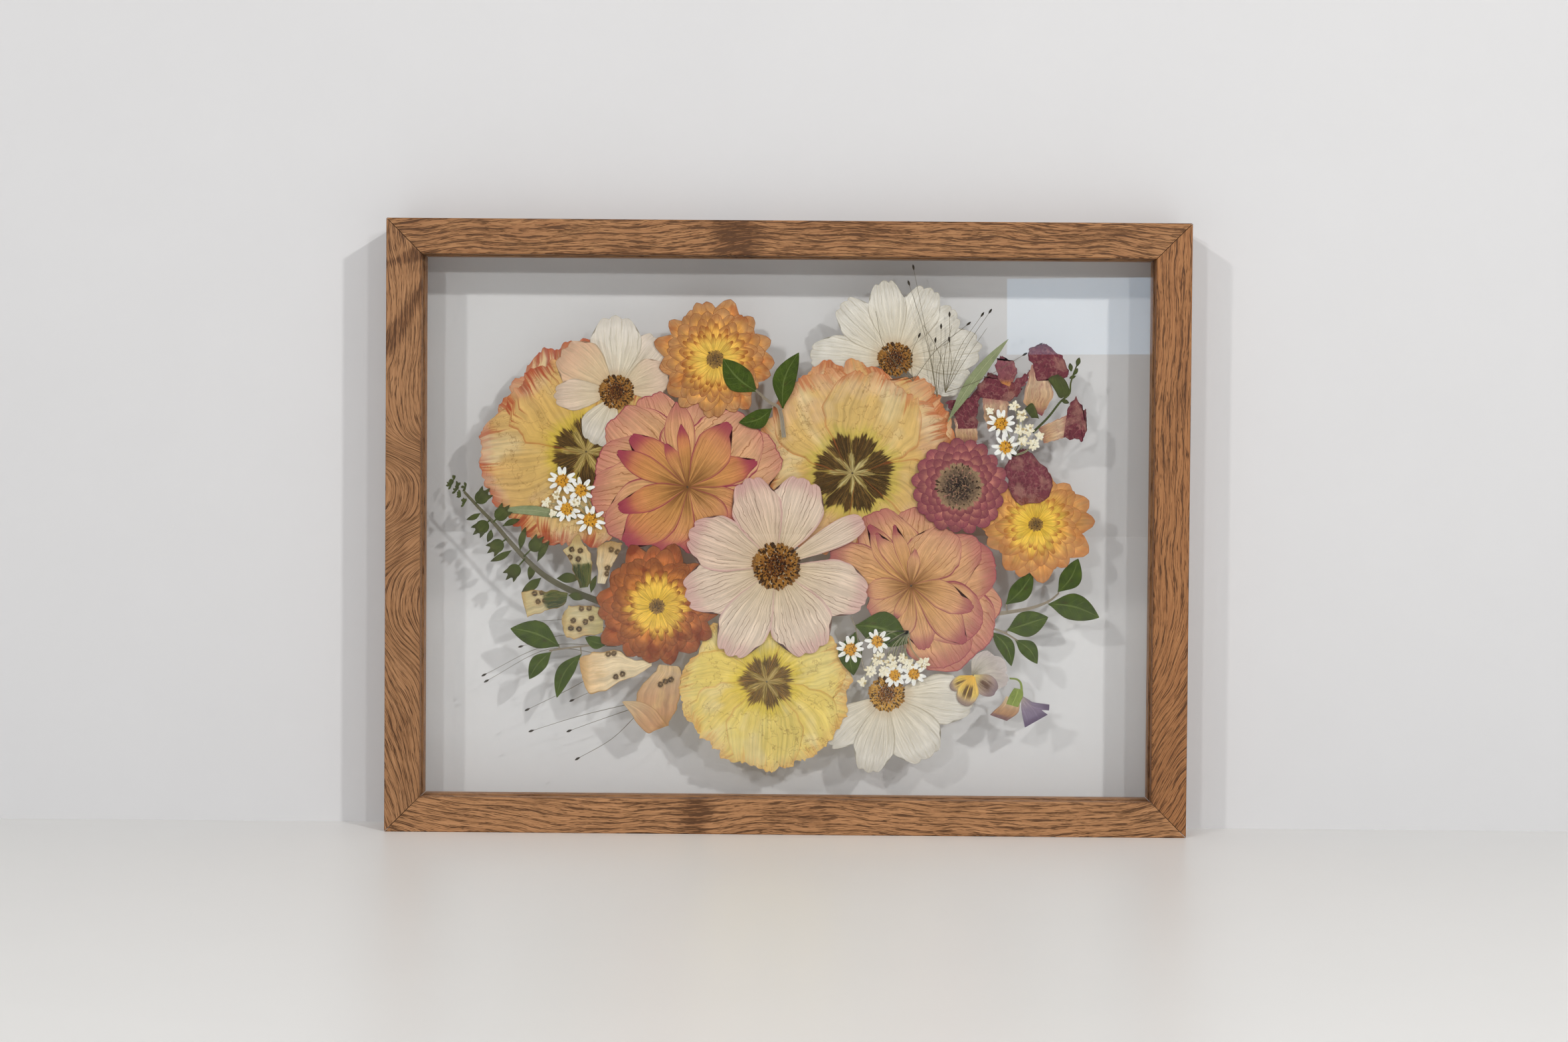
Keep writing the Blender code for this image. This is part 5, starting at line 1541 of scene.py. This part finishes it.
def soft_lamp(name, azimuth, rise, power, size=KEY_SIZE, reach=LAMP_REACH, colour=(1, 1, 1)):
    """An area lamp in front of the frame. azimuth is in degrees to the right, power in watts."""
    turn, lift = math.radians(azimuth), math.radians(rise)
    away = Vector((math.sin(turn) * math.cos(lift), -math.cos(turn) * math.cos(lift), math.sin(lift)))
    lamp = bpy.data.lights.new(name, "AREA")
    lamp.shape = "RECTANGLE"
    lamp.size, lamp.size_y = size
    lamp.energy, lamp.color = power, colour
    holder = linked(name, lamp)
    holder.location = LOOK_AT + away * reach
    holder.rotation_euler = (-away).to_track_quat("-Z", "Y").to_euler()


soft_lamp("key_left", -35, 28, 9.6, colour=(1.0, 0.975, 0.95))
soft_lamp("key_right", 37, 28, 16.3, colour=(1.0, 0.985, 0.96))
soft_lamp("second_left", -18, 15, 5.9)
soft_lamp("second_right", 21, 15, 5.9)
soft_lamp("window", 10.3, 6.3, 0.16, WINDOW_SIZE, reach=3.2, colour=(0.45, 0.72, 1.0))

# %% Sky
room = bpy.data.worlds.new("room")
room.use_nodes = True
tree = room.node_tree
up = tree.nodes.new("ShaderNodeSeparateXYZ")
tree.links.new(tree.nodes.new("ShaderNodeTexCoord").outputs["Generated"], up.inputs[0])
glow = Signal(tree, up.outputs["Z"]).rises(-0.1, 0.9) * SKY_GLOW + SKY_LEAST
background = tree.nodes["Background"]
background.inputs["Color"].default_value = (0.97, 0.98, 1.0, 1)
seen = Signal(tree, tree.nodes.new("ShaderNodeLightPath").outputs["Is Camera Ray"])
plug(tree, glow.maths("MAXIMUM", seen * SKY_SEEN), background.inputs["Strength"])
scene.world = room
scene.view_settings.view_transform = "Standard"
scene.cycles.transparent_max_bounces = 32
print("lamps at", LAMP_REACH, "m")

# %% [markdown]
# ## The camera
# The camera stands a long arm's length in front, level with the upper half of the frame, and is
# turned by about a degree each way, as a hand-held camera is.

# %% Camera
CAMERA_AT = Vector((0.0025, -1.1847, 0.1935))
YAW, PITCH, ROLL = (math.radians(v) for v in (0.204, -1.199, 0.441))
ahead = Vector((-math.sin(YAW) * math.cos(PITCH), math.cos(YAW) * math.cos(PITCH), math.sin(PITCH)))
level_right = ahead.cross(Vector((0, 0, 1))).normalized()
level_up = level_right.cross(ahead)
camera_right = level_right * math.cos(ROLL) + level_up * math.sin(ROLL)
camera_up = level_up * math.cos(ROLL) - level_right * math.sin(ROLL)
turned = Matrix((camera_right, camera_up, -ahead)).transposed().to_4x4()
lens = bpy.data.cameras.new("camera")
lens.lens, lens.sensor_width, lens.clip_start = 50.0, 36.0, 0.05
camera = linked("camera", lens)
camera.matrix_world = Matrix.Translation(CAMERA_AT) @ turned
scene.camera = camera
print("camera", round((CAMERA_AT - LOOK_AT).length, 2), "m away")

# %% [markdown]
# ## Tidying up
# The last cell removes the petal templates that the rings copied.

# %% Remove the templates
for helper in (spoon, shell_petal, daisy_petal, ray_petal):
    bpy.data.objects.remove(helper)
